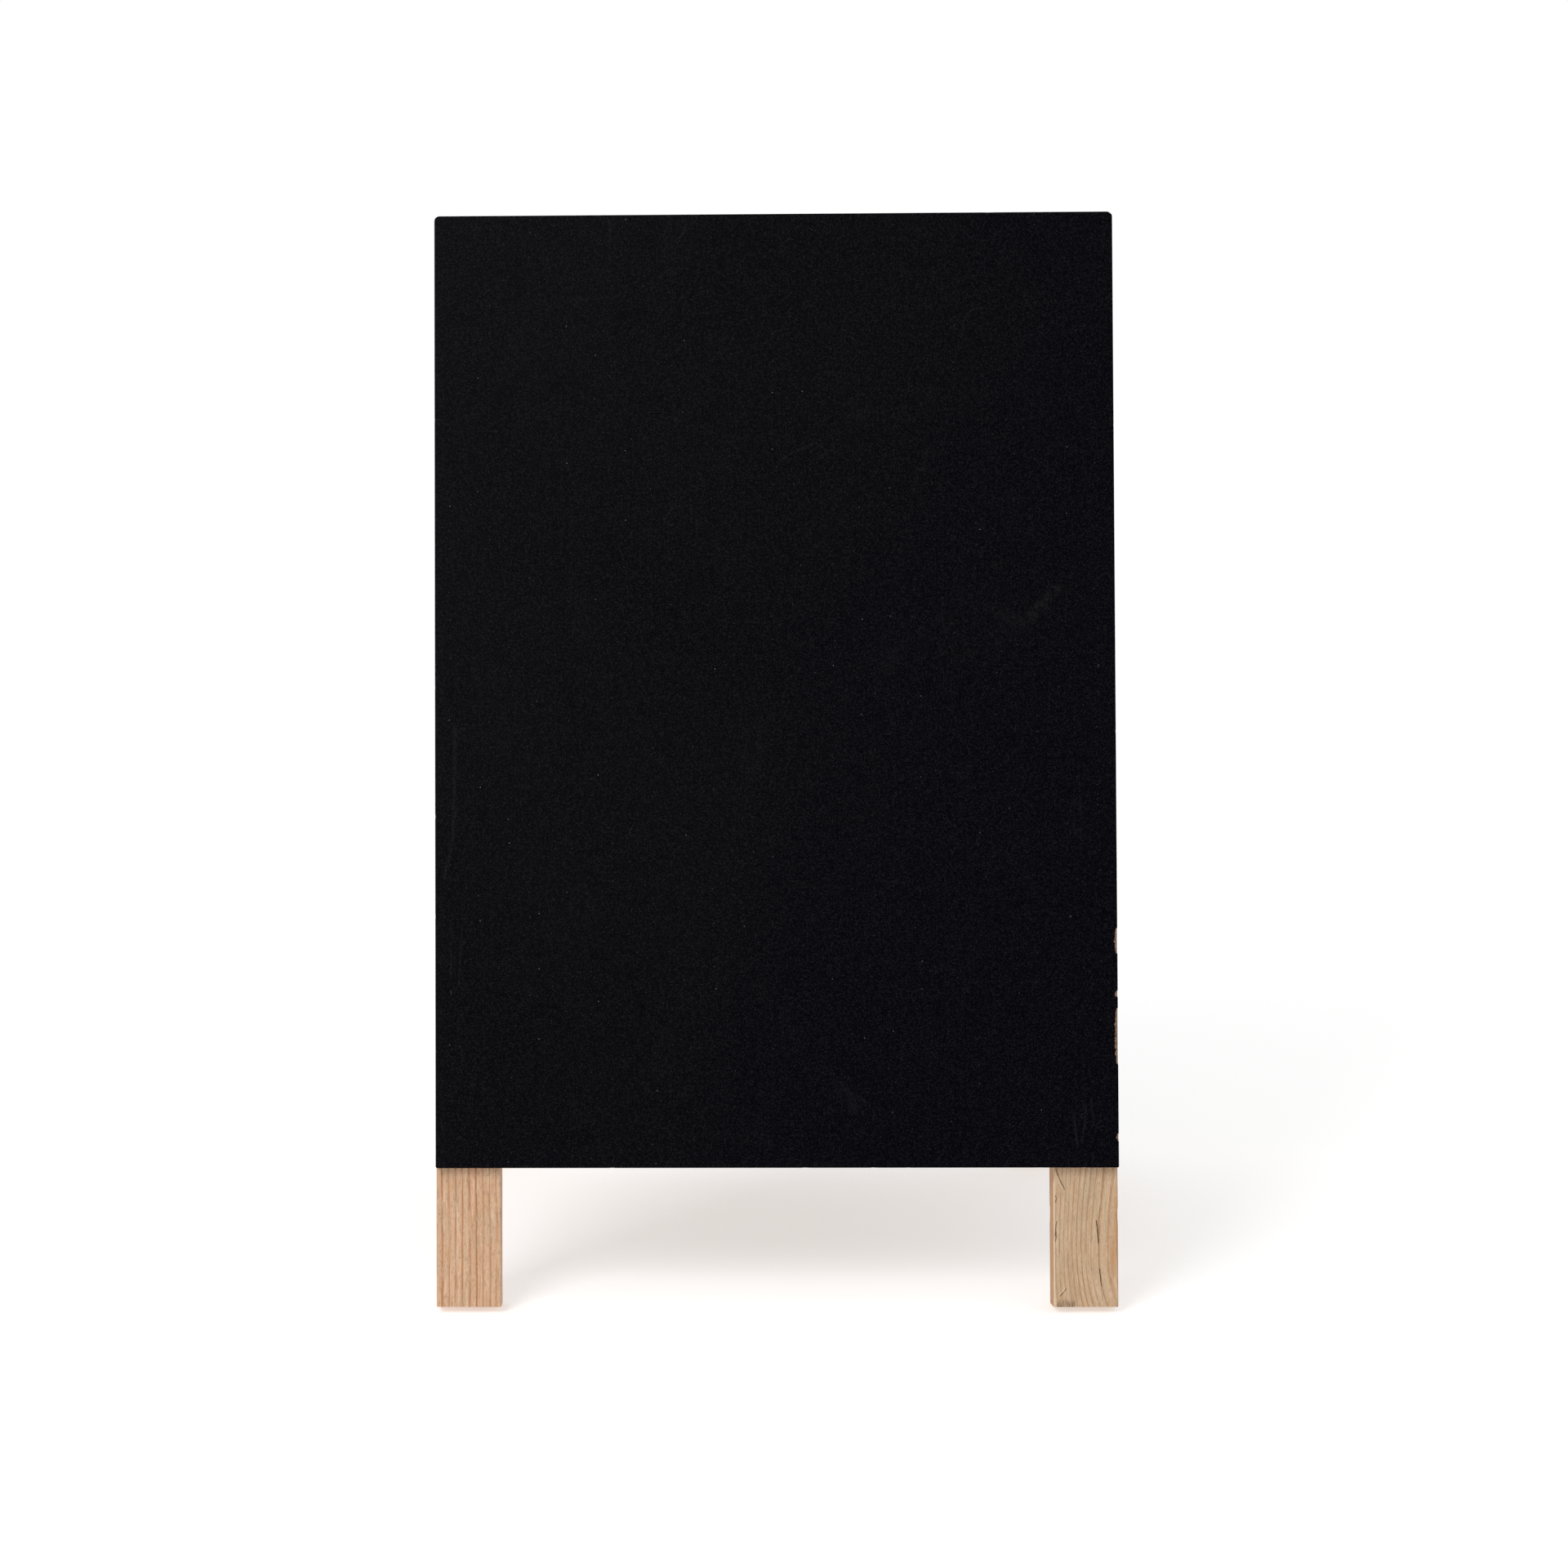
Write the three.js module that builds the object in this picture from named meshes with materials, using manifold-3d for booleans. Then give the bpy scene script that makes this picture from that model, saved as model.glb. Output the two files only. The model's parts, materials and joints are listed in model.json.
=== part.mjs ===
// A small two-sided menu chalkboard that stands as an A: a front and a rear frame, hinged together at the top
// and held open by a folding metal stay on each side.
//
// Millimetres, +Z up. The front faces -Y, left is -X, and the origin is on the table midway between the feet.
// Each frame is modelled upright with the hinge axis as its origin and its writing face towards -Y. It is then
// leaned about that axis. The rear frame is the same frame turned half round.

import * as THREE from 'three';
import { mergeVertices } from 'three/addons/utils/BufferGeometryUtils.js';
import Module from 'manifold-3d';

const wasm = await Module();
wasm.setup();

// ---- driving dimensions ----

const PANEL_WIDTH = 210;
const PANEL_HEIGHT = 295;
const PANEL_THICKNESS = 3;
const PANEL_CORNER_RADIUS = 1.6; // the two top corners; the bottom ones are sharp
const LEG_WIDTH = 20;
const WOOD_DEPTH = 10; // of the legs and rails, square to the panel
const LEG_BELOW_PANEL = 43; // under the front panel
const RAIL_HEIGHT = 20;
const RAIL_ABOVE_PANEL_EDGE = 4; // of the bottom rail over the front panel's lower edge
const EASED_ARRIS = 0.5;
const WOOD_ABOVE_AXIS = 2;
const FRONT_PANEL_ABOVE_WOOD = 3; // the front panel oversails its rail; the rear one is flush
const LEAN = THREE.MathUtils.degToRad(12.5); // of each frame, standing open
const GAP = 0.3; // between any two pieces that touch or are glued

const HINGE_SPACING = 110;
const HINGE_LENGTH = 25;
const LEAF_HEIGHT = 12;
const LEAF_THICKNESS = 0.8;
const BARREL_RADIUS = 1.8;
const BARREL_BORE_RADIUS = 1.2;
const HINGE_PIN_RADIUS = 0.9;
const HINGE_PIN_HEAD = { radius: 1.5, height: 0.6 };
const KNUCKLES = 5;
const LEAF_SCREW_SPACING = 15;
const LEAF_SCREW_DROP = 7; // below the hinge axis

const LEAF_SCREW = { headRadius: 2.1, shankRadius: 1.0, length: 8, recessDepth: 0.7 };
const RAIL_SCREW = { headRadius: 3.0, shankRadius: 1.6, length: 34, recessDepth: 1.0 };
const RAIL_SCREW_SUNK = 0.2; // below the leg's outer side
const PIVOT_SCREW = { headRadius: 3.2, headHeight: 1.6, shankRadius: 1.5, length: 14, recessDepth: 0.8 };

const STAY_DROP = 180; // of the leg pivots below the hinge axis
const LINK_WIDTH = 8;
const LINK_THICKNESS = 1.2;
const LINK_HOLE_RADIUS = 1.8;
const WASHER = { radius: 3.5, bore: 1.8, thickness: 0.8 };
const RIVET = { radius: 1.5, headRadius: 2.8, headHeight: 0.7 };

const ROUND_SEGMENTS = 16;

// ---- worked out from them, in a frame's own axes ----

const INNER_FACE = BARREL_RADIUS + GAP; // the wood's inner face, from the hinge axis
const OUTER_FACE = INNER_FACE + WOOD_DEPTH;
const PANEL_BACK = OUTER_FACE + GAP;
const FRONT_PANEL_TOP = WOOD_ABOVE_AXIS + FRONT_PANEL_ABOVE_WOOD;
const FRONT_PANEL_BOTTOM = FRONT_PANEL_TOP - PANEL_HEIGHT;
const FOOT = FRONT_PANEL_BOTTOM - LEG_BELOW_PANEL;
const LEG_INNER_SIDE = PANEL_WIDTH / 2 - LEG_WIDTH;

// The square-cut feet stand on their inner arrises.
const AXIS_HEIGHT = -FOOT * Math.cos(LEAN) - INNER_FACE * Math.sin(LEAN);

const WOOD_MIDDLE = INNER_FACE + WOOD_DEPTH / 2;
const TOP_RAIL_Z = WOOD_ABOVE_AXIS - RAIL_HEIGHT / 2;
const BOTTOM_RAIL_Z = FRONT_PANEL_BOTTOM + RAIL_ABOVE_PANEL_EDGE + RAIL_HEIGHT / 2;

// The stay's pivots when the board stands open. Its two links then lie in one level line.
const PIVOT_REACH = WOOD_MIDDLE * Math.cos(LEAN) + STAY_DROP * Math.sin(LEAN);
const PIVOT_HEIGHT = AXIS_HEIGHT + WOOD_MIDDLE * Math.sin(LEAN) - STAY_DROP * Math.cos(LEAN);

// Distances inwards from a leg's inner side.
const FRONT_LINK_NEAR = GAP + WASHER.thickness + GAP;
const FRONT_LINK_FAR = FRONT_LINK_NEAR + LINK_THICKNESS;
const REAR_LINK_NEAR = FRONT_LINK_FAR + GAP;
const REAR_LINK_FAR = REAR_LINK_NEAR + LINK_THICKNESS;

// ---- materials ----

const finish = (color, roughness, metalness) => ({ color, roughness, metalness });
const BOARD_PAINT = finish(0x101014, 0.75, 0);
const PINE = finish(0xd2b28c, 0.6, 0);
const HINGE_BRASS = finish(0xb8923f, 0.35, 1);
const ZINC = finish(0xb9bcc0, 0.35, 1);

function namedMesh(name, geometry, look) {
  const mesh = new THREE.Mesh(geometry, new THREE.MeshStandardMaterial(look));
  mesh.name = name;
  return mesh;
}

// ---- solids ----

function toSolid(geometry) {
  const bare = geometry.clone();
  bare.deleteAttribute('normal');
  bare.deleteAttribute('uv');
  const merged = mergeVertices(bare);
  return new wasm.Manifold(new wasm.Mesh({
    numProp: 3,
    vertProperties: Float32Array.from(merged.attributes.position.array),
    triVerts: Uint32Array.from(merged.index.array),
  }));
}

function toGeometry(solid) {
  const mesh = solid.getMesh();
  const geometry = new THREE.BufferGeometry();
  geometry.setAttribute('position', new THREE.BufferAttribute(mesh.vertProperties, mesh.numProp));
  geometry.setIndex(new THREE.BufferAttribute(mesh.triVerts, 1));
  geometry.computeVertexNormals();
  return geometry;
}

function cut(geometry, cutters) {
  return toGeometry(cutters.reduce((solid, cutter) => solid.subtract(toSolid(cutter)), toSolid(geometry)));
}

function join(geometries) {
  return toGeometry(geometries.map(toSolid).reduce((solid, other) => solid.add(other)));
}

function block(low, high) {
  const size = high.map((value, i) => value - low[i]);
  const middle = high.map((value, i) => (value + low[i]) / 2);
  return new THREE.BoxGeometry(...size).translate(...middle);
}

// A cylinder along X, centred on the X axis.
function barAlongX(radius, fromX, toX) {
  const bar = new THREE.CylinderGeometry(radius, radius, toX - fromX, ROUND_SEGMENTS);
  return bar.rotateZ(-Math.PI / 2).translate((fromX + toX) / 2, 0, 0);
}

// Turns a lathed shape, made along +Y, so that its +Y end points along the given direction.
function pointAlong(geometry, direction) {
  const turn = new THREE.Quaternion().setFromUnitVectors(new THREE.Vector3(0, 1, 0), direction);
  return geometry.applyQuaternion(turn);
}

function lathed(points) {
  const profile = points.map(([radius, height]) => new THREE.Vector2(radius, height));
  return new THREE.LatheGeometry(profile, ROUND_SEGMENTS);
}

// ---- wood and panels, upright about the hinge axis ----

const ALONG_X = new THREE.Matrix4().makeBasis(
  new THREE.Vector3(0, 1, 0), new THREE.Vector3(0, 0, 1), new THREE.Vector3(1, 0, 0));
const TOWARDS_FRONT = new THREE.Matrix4().makeBasis(
  new THREE.Vector3(1, 0, 0), new THREE.Vector3(0, 0, 1), new THREE.Vector3(0, -1, 0));

// A piece of wood that fills the box from low to high, with the arrises round its two ends along X eased.
function batten(low, high) {
  const [, front, bottom] = low;
  const [, back, top] = high;
  const corners = [[front, bottom], [back, bottom], [back, top], [front, top]];
  const side = new THREE.Shape(corners.map(([y, z]) => new THREE.Vector2(y, z)));
  const options = {
    depth: high[0] - low[0] - 2 * EASED_ARRIS,
    bevelEnabled: true,
    bevelThickness: EASED_ARRIS,
    bevelSize: EASED_ARRIS,
    bevelOffset: -EASED_ARRIS,
    bevelSegments: 2,
  };
  return new THREE.ExtrudeGeometry(side, options).applyMatrix4(ALONG_X).translate(low[0] + EASED_ARRIS, 0, 0);
}

// The leg's ends are cut square.
function legBlank(side) {
  const edges = [side * LEG_INNER_SIDE, side * PANEL_WIDTH / 2];
  return batten([Math.min(...edges), -OUTER_FACE, FOOT], [Math.max(...edges), -INNER_FACE, WOOD_ABOVE_AXIS]);
}

function railBlank(middleZ) {
  const half = LEG_INNER_SIDE - GAP;
  return batten(
    [-half, -OUTER_FACE, middleZ - RAIL_HEIGHT / 2],
    [half, -INNER_FACE, middleZ + RAIL_HEIGHT / 2]);
}

function panel(topZ) {
  const half = PANEL_WIDTH / 2;
  const round = PANEL_CORNER_RADIUS;
  const outline = new THREE.Shape();
  outline.moveTo(-half, topZ - PANEL_HEIGHT);
  outline.lineTo(half, topZ - PANEL_HEIGHT);
  outline.absarc(half - round, topZ - round, round, 0, Math.PI / 2);
  outline.absarc(-half + round, topZ - round, round, Math.PI / 2, Math.PI);
  const options = { depth: PANEL_THICKNESS, bevelEnabled: false, curveSegments: 6 };
  const sheet = new THREE.ExtrudeGeometry(outline, options);
  return sheet.applyMatrix4(TOWARDS_FRONT).translate(0, -PANEL_BACK, 0);
}

// ---- screws, made with the head's top at the origin and the point towards -Y ----

// A cross-head recess, cut from a screw whose head is at the origin.
function crossRecess(headRadius, depth) {
  const reach = headRadius * 0.6;
  const half = headRadius * 0.12;
  const above = depth; // clear of the head's top
  return join([
    block([-reach, -depth, -half], [reach, above, half]),
    block([-half, -depth, -reach], [half, above, reach]),
  ]);
}

// With `extra` it is the hole for that screw, wider all round and open above the head.
function countersunkShape({ headRadius, shankRadius, length }, extra = 0) {
  const profile = [
    [0, -length - extra],
    [shankRadius + extra, 2 * shankRadius - length - extra],
    [shankRadius + extra, shankRadius - headRadius],
    [headRadius + extra, 0],
  ];
  if (extra > 0) profile.push([headRadius + extra, extra]);
  return lathed([...profile, [0, extra]]);
}

function countersunkScrew(size) {
  return cut(countersunkShape(size), [crossRecess(size.headRadius, size.recessDepth)]);
}

// A round-head screw with the underside of its head at the origin.
function pivotScrew({ headRadius, headHeight, shankRadius, length, recessDepth }) {
  const dome = [];
  const domeSteps = 5;
  for (let i = 0; i <= domeSteps; i += 1) {
    const angle = (Math.PI / 2) * (i / domeSteps);
    dome.push([headRadius * Math.cos(angle), headHeight * Math.sin(angle)]);
  }
  dome[domeSteps][0] = 0;
  const body = lathed([[0, -length], [shankRadius, -length + 2 * shankRadius], [shankRadius, 0], ...dome]);
  return cut(body, [crossRecess(headRadius, recessDepth).translate(0, headHeight, 0)]);
}

const DIRECTION = {
  backwards: new THREE.Vector3(0, 1, 0), // a leaf screw's head, in the frame's own axes
  outwards: (side) => new THREE.Vector3(side, 0, 0),
};

const leafScrewSpots = (side) => [-1, 1].map((end) => [
  side * HINGE_SPACING / 2 + end * LEAF_SCREW_SPACING / 2,
  -BARREL_RADIUS + LEAF_THICKNESS,
  -LEAF_SCREW_DROP,
]);

const railScrewSpot = (side, z) => [side * (PANEL_WIDTH / 2 - RAIL_SCREW_SUNK), -WOOD_MIDDLE, z];

const screwCutter = (size, direction, spot) =>
  pointAlong(countersunkShape(size, GAP), direction).translate(...spot);

const leafScrewCutters = (side) =>
  leafScrewSpots(side).map((spot) => screwCutter(LEAF_SCREW, DIRECTION.backwards, spot));

const railScrewCutter = (side, z) =>
  screwCutter(RAIL_SCREW, DIRECTION.outwards(side), railScrewSpot(side, z));

// ---- hinge, with its axis along X through the origin ----

// A plate on the wood's inner face, with knuckles rolled round the axis at its upper edge.
function hingeLeaf(side, ownsKnuckle) {
  const start = side * HINGE_SPACING / 2 - HINGE_LENGTH / 2;
  const pitch = HINGE_LENGTH / KNUCKLES;
  const near = -BARREL_RADIUS + LEAF_THICKNESS;
  const plateTop = -BARREL_RADIUS - 2 * GAP;
  const pieces = [block([start, -BARREL_RADIUS, -LEAF_HEIGHT], [start + HINGE_LENGTH, near, plateTop])];
  for (let i = 0; i < KNUCKLES; i += 1) {
    if (ownsKnuckle(i)) {
      const from = start + i * pitch + GAP / 2;
      const to = start + (i + 1) * pitch - GAP / 2;
      pieces.push(barAlongX(BARREL_RADIUS, from, to));
      pieces.push(block([from, -BARREL_RADIUS, plateTop - GAP], [to, near, 0]));
    }
  }
  const bore = barAlongX(BARREL_BORE_RADIUS, start - GAP, start + HINGE_LENGTH + GAP);
  return cut(join(pieces), [bore, ...leafScrewCutters(side)]);
}

function hingePin(side) {
  const half = HINGE_LENGTH / 2 + GAP / 2;
  const { radius, height } = HINGE_PIN_HEAD;
  const pin = lathed([
    [0, -half - height],
    [radius, -half - height],
    [radius, -half],
    [HINGE_PIN_RADIUS, -half],
    [HINGE_PIN_RADIUS, half],
    [radius, half],
    [radius, half + height],
    [0, half + height],
  ]);
  return pointAlong(pin, DIRECTION.outwards(1)).translate(side * HINGE_SPACING / 2, 0, 0);
}

// ---- a whole frame ----

const pivotHole = (side) =>
  barAlongX(PIVOT_SCREW.shankRadius + GAP, -PIVOT_SCREW.length, PIVOT_SCREW.length)
    .translate(side * LEG_INNER_SIDE, -WOOD_MIDDLE, -STAY_DROP);

const SIDES = [['left', -1], ['right', 1]];
const RAILS = [['top', TOP_RAIL_Z], ['bottom', BOTTOM_RAIL_Z]];

// `turned` is -1 for the rear frame, whose own +X side is the board's left.
function frame(name, turned, panelTop, ownsKnuckle) {
  const group = new THREE.Group();
  group.add(namedMesh(`${name}_panel`, panel(panelTop), BOARD_PAINT));
  for (const [sideName, boardSide] of SIDES) {
    const side = boardSide * turned;
    const cutters = [pivotHole(side), ...RAILS.map(([, z]) => railScrewCutter(side, z))];
    group.add(namedMesh(`${name}_${sideName}_leg`, cut(legBlank(side), cutters), PINE));
    for (const [railName, z] of RAILS) {
      const screw = pointAlong(countersunkScrew(RAIL_SCREW), DIRECTION.outwards(side));
      screw.translate(...railScrewSpot(side, z));
      group.add(namedMesh(`${name}_${railName}_rail_${sideName}_screw`, screw, ZINC));
    }
    group.add(namedMesh(`${sideName}_hinge_${name}_leaf`, hingeLeaf(side, ownsKnuckle), HINGE_BRASS));
    leafScrewSpots(side).forEach((spot, i) => {
      const screw = pointAlong(countersunkScrew(LEAF_SCREW), DIRECTION.backwards).translate(...spot);
      group.add(namedMesh(`${sideName}_hinge_${name}_screw_${i + 1}`, screw, HINGE_BRASS));
    });
  }
  for (const [railName, z] of RAILS) {
    const cutters = [-1, 1].map((side) => railScrewCutter(side, z));
    if (railName === 'top') cutters.push(...leafScrewCutters(-1), ...leafScrewCutters(1));
    group.add(namedMesh(`${name}_${railName}_rail`, cut(railBlank(z), cutters), PINE));
  }
  return group;
}

// ---- stays, standing open: both links level, meeting at the rivet over the origin ----

const PIVOT_Y = { front: -PIVOT_REACH, rear: PIVOT_REACH };

// A flat bar with round ends and a hole at each, from one of the leg pivots to the rivet at y = 0.
function link(pivotY) {
  const half = LINK_WIDTH / 2;
  const low = Math.min(pivotY, 0);
  const high = Math.max(pivotY, 0);
  const bar = new THREE.Shape();
  bar.absarc(low, 0, half, Math.PI / 2, Math.PI * 1.5);
  bar.absarc(high, 0, half, -Math.PI / 2, Math.PI / 2);
  for (const y of [low, high]) {
    bar.holes.push(new THREE.Path().absarc(y, 0, LINK_HOLE_RADIUS, 0, Math.PI * 2));
  }
  const options = { depth: LINK_THICKNESS, bevelEnabled: false, curveSegments: ROUND_SEGMENTS / 2 };
  return new THREE.ExtrudeGeometry(bar, options).applyMatrix4(ALONG_X);
}

// A round plate with a bore, from x = 0 to x = thickness.
function washer(thickness) {
  const { radius, bore } = WASHER;
  const ring = barAlongX(radius, 0, thickness);
  return cut(ring, [barAlongX(bore, -GAP, thickness + GAP)]);
}

// The rivet's outer head and its shank, which ends flush with the front link.
function rivet() {
  const { radius, headRadius, headHeight } = RIVET;
  return lathed([
    [0, -LINK_THICKNESS - GAP],
    [radius, -LINK_THICKNESS - GAP],
    [radius, 0],
    [headRadius, 0],
    [headRadius - headHeight / 2, headHeight],
    [0, headHeight],
  ]);
}

// Places a piece that is modelled from x = 0 outwards so that it starts `inwards` of the leg's inner side.
function besideLeg(geometry, side, inwards) {
  const mirrored = side > 0 ? geometry : geometry.rotateZ(Math.PI);
  return mirrored.translate(side * (LEG_INNER_SIDE - inwards), 0, 0);
}

function stay(sideName, side) {
  const group = new THREE.Group();
  group.position.z = PIVOT_HEIGHT;
  const add = (name, geometry, look) => group.add(namedMesh(`${sideName}_stay_${name}`, geometry, look));

  // A half turn about Z would swap front and rear, so the left links are made from the mirrored pivot.
  add('front_link', besideLeg(link(side * PIVOT_Y.front), side, FRONT_LINK_FAR), ZINC);
  add('rear_link', besideLeg(link(side * PIVOT_Y.rear), side, REAR_LINK_FAR), ZINC);
  const rivetAlongX = pointAlong(rivet(), DIRECTION.outwards(1));
  add('rivet', besideLeg(rivetAlongX, side, FRONT_LINK_NEAR - GAP), ZINC);

  const spacerThickness = REAR_LINK_NEAR - 2 * GAP;
  const fittings = [
    ['front', 'washer', WASHER.thickness, FRONT_LINK_FAR],
    ['rear', 'spacer', spacerThickness, REAR_LINK_FAR],
  ];
  for (const [end, fittingName, thickness, linkFar] of fittings) {
    const fitting = besideLeg(washer(thickness), side, GAP + thickness);
    add(`${end}_${fittingName}`, fitting.translate(0, PIVOT_Y[end], 0), ZINC);
    const screw = pointAlong(pivotScrew(PIVOT_SCREW), DIRECTION.outwards(-1));
    add(`${end}_screw`, besideLeg(screw, side, linkFar + GAP).translate(0, PIVOT_Y[end], 0), ZINC);
  }
  return group;
}

// ---- assembly ----

const isInnerKnuckle = (i) => i % 2 === 1;
const isOuterKnuckle = (i) => i % 2 === 0;

const frontFrame = frame('front', 1, FRONT_PANEL_TOP, isInnerKnuckle);
frontFrame.position.z = AXIS_HEIGHT;
frontFrame.rotation.x = -LEAN;

const rearFrame = frame('rear', -1, WOOD_ABOVE_AXIS, isOuterKnuckle);
rearFrame.rotation.z = Math.PI;
const rearLean = new THREE.Group();
rearLean.position.z = AXIS_HEIGHT;
rearLean.rotation.x = LEAN;
rearLean.add(rearFrame);

const hingePins = new THREE.Group();
hingePins.position.z = AXIS_HEIGHT;
for (const [sideName, side] of SIDES) {
  hingePins.add(namedMesh(`${sideName}_hinge_pin`, hingePin(side), HINGE_BRASS));
}

const chalkboard = new THREE.Group();
chalkboard.add(frontFrame, rearLean, hingePins, ...SIDES.map(([sideName, side]) => stay(sideName, side)));

export default chalkboard;
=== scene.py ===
"""Looks of the folding menu chalkboard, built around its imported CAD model.

Each frame's pieces are modelled in that frame's own millimetres: upright about the hinge axis, with the
writing face towards -Y, as in the CAD. AXES then puts them in the row frame, in metres. The stays and hinge
pins are modelled about their own centres in the row frame.
"""

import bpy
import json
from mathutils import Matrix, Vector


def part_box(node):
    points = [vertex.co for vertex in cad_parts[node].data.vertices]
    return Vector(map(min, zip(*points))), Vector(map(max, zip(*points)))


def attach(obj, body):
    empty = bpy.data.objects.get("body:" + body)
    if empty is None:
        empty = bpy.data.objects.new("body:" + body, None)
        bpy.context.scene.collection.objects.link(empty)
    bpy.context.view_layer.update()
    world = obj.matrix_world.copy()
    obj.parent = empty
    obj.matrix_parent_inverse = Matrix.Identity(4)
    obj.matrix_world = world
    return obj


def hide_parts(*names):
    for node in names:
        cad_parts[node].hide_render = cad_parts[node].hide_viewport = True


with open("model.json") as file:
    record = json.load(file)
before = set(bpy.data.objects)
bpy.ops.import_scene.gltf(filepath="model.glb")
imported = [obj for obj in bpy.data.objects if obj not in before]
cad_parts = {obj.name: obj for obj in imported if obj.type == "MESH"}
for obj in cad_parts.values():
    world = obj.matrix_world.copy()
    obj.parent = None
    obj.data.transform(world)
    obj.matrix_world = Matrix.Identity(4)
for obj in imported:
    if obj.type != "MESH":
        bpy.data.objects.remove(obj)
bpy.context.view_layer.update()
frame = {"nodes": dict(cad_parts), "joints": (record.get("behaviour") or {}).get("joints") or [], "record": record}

import json
import math

import bmesh
import bpy
from mathutils import Matrix, Vector, noise

MM = 0.001
SIDES = {"left": -1, "right": 1}
RAILS = ("top", "bottom")

record = frame["record"]
mounts = {mount["name"]: mount for mount in record["mounts"]}
joints = {joint["name"]: joint for joint in frame["joints"]}

# ---- the frames' own axes ----

HINGE = Vector(joints["fold"]["pos_m"])
FACE_MIDDLE = Vector(mounts["front_writing_face"]["pos_m"])
FACE_NORMAL = Vector(mounts["front_writing_face"]["axis"])
LEAN = math.atan2(FACE_NORMAL.z, -FACE_NORMAL.y)
RIGHTWARDS = Vector((1, 0, 0))


def frame_axes(which):
    """From a frame's own millimetres to the row frame in metres. The rear frame is the front one turned."""
    turn = Matrix.Rotation(-LEAN, 4, "X")
    if which == "rear":
        turn = Matrix.Rotation(LEAN, 4, "X") @ Matrix.Rotation(math.pi, 4, "Z")
    return Matrix.Translation(HINGE) @ turn @ Matrix.Scale(MM, 4)


AXES = {which: frame_axes(which) for which in ("front", "rear")}


def own_box(node, which):
    """Lowest and highest corner of a CAD node, in its frame's own millimetres."""
    back = AXES[which].inverted()
    points = [back @ vertex.co for vertex in frame["nodes"][node].data.vertices]
    low = Vector([min(point[i] for point in points) for i in range(3)])
    high = Vector([max(point[i] for point in points) for i in range(3)])
    return low, high


# ---- camera ----

CAMERA_DISTANCE = 1.05
CAMERA_LENS = 78.15
CAMERA_YAW = math.radians(1.3)  # round to the right of square-on
CAMERA_PITCH = math.radians(-1.7)  # below square-on
CAMERA_ROLL = math.radians(-0.16)
AIM_RIGHT = 0.0028
AIM_DOWN = 0.0294  # below the middle of the front panel, because the legs stand below it
CAMERA_LEFT = 0.058  # how far left of the aim it stands; the lens is shifted back by as much
SENSOR_WIDTH = 36.0
CLIP_START = 0.01


def make_camera():
    """Looks at the front panel almost square-on, from a little to the left. The lens is shifted by just as
    much, so that the panel stays in the middle and the legs' inner sides show."""
    upwards = FACE_NORMAL.cross(RIGHTWARDS)
    aim = FACE_MIDDLE + RIGHTWARDS * AIM_RIGHT - upwards * AIM_DOWN
    level = FACE_NORMAL * math.cos(CAMERA_YAW) + RIGHTWARDS * math.sin(CAMERA_YAW)
    back = level * math.cos(CAMERA_PITCH) + upwards * math.sin(CAMERA_PITCH)
    across = upwards.cross(back).normalized()
    above = back.cross(across)
    turned = across * math.cos(CAMERA_ROLL) + above * math.sin(CAMERA_ROLL)
    place = aim + back * CAMERA_DISTANCE - turned * CAMERA_LEFT
    camera = bpy.data.objects.new("camera", bpy.data.cameras.new("camera"))
    camera.data.lens = CAMERA_LENS
    camera.data.sensor_width = SENSOR_WIDTH
    camera.data.shift_x = CAMERA_LEFT / CAMERA_DISTANCE * CAMERA_LENS / SENSOR_WIDTH
    camera.data.clip_start = CLIP_START
    columns = Matrix((turned, back.cross(turned), back)).transposed()
    camera.matrix_world = Matrix.Translation(place) @ columns.to_4x4()
    bpy.context.scene.collection.objects.link(camera)
    bpy.context.scene.camera = camera


# ---- node graphs ----


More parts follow.
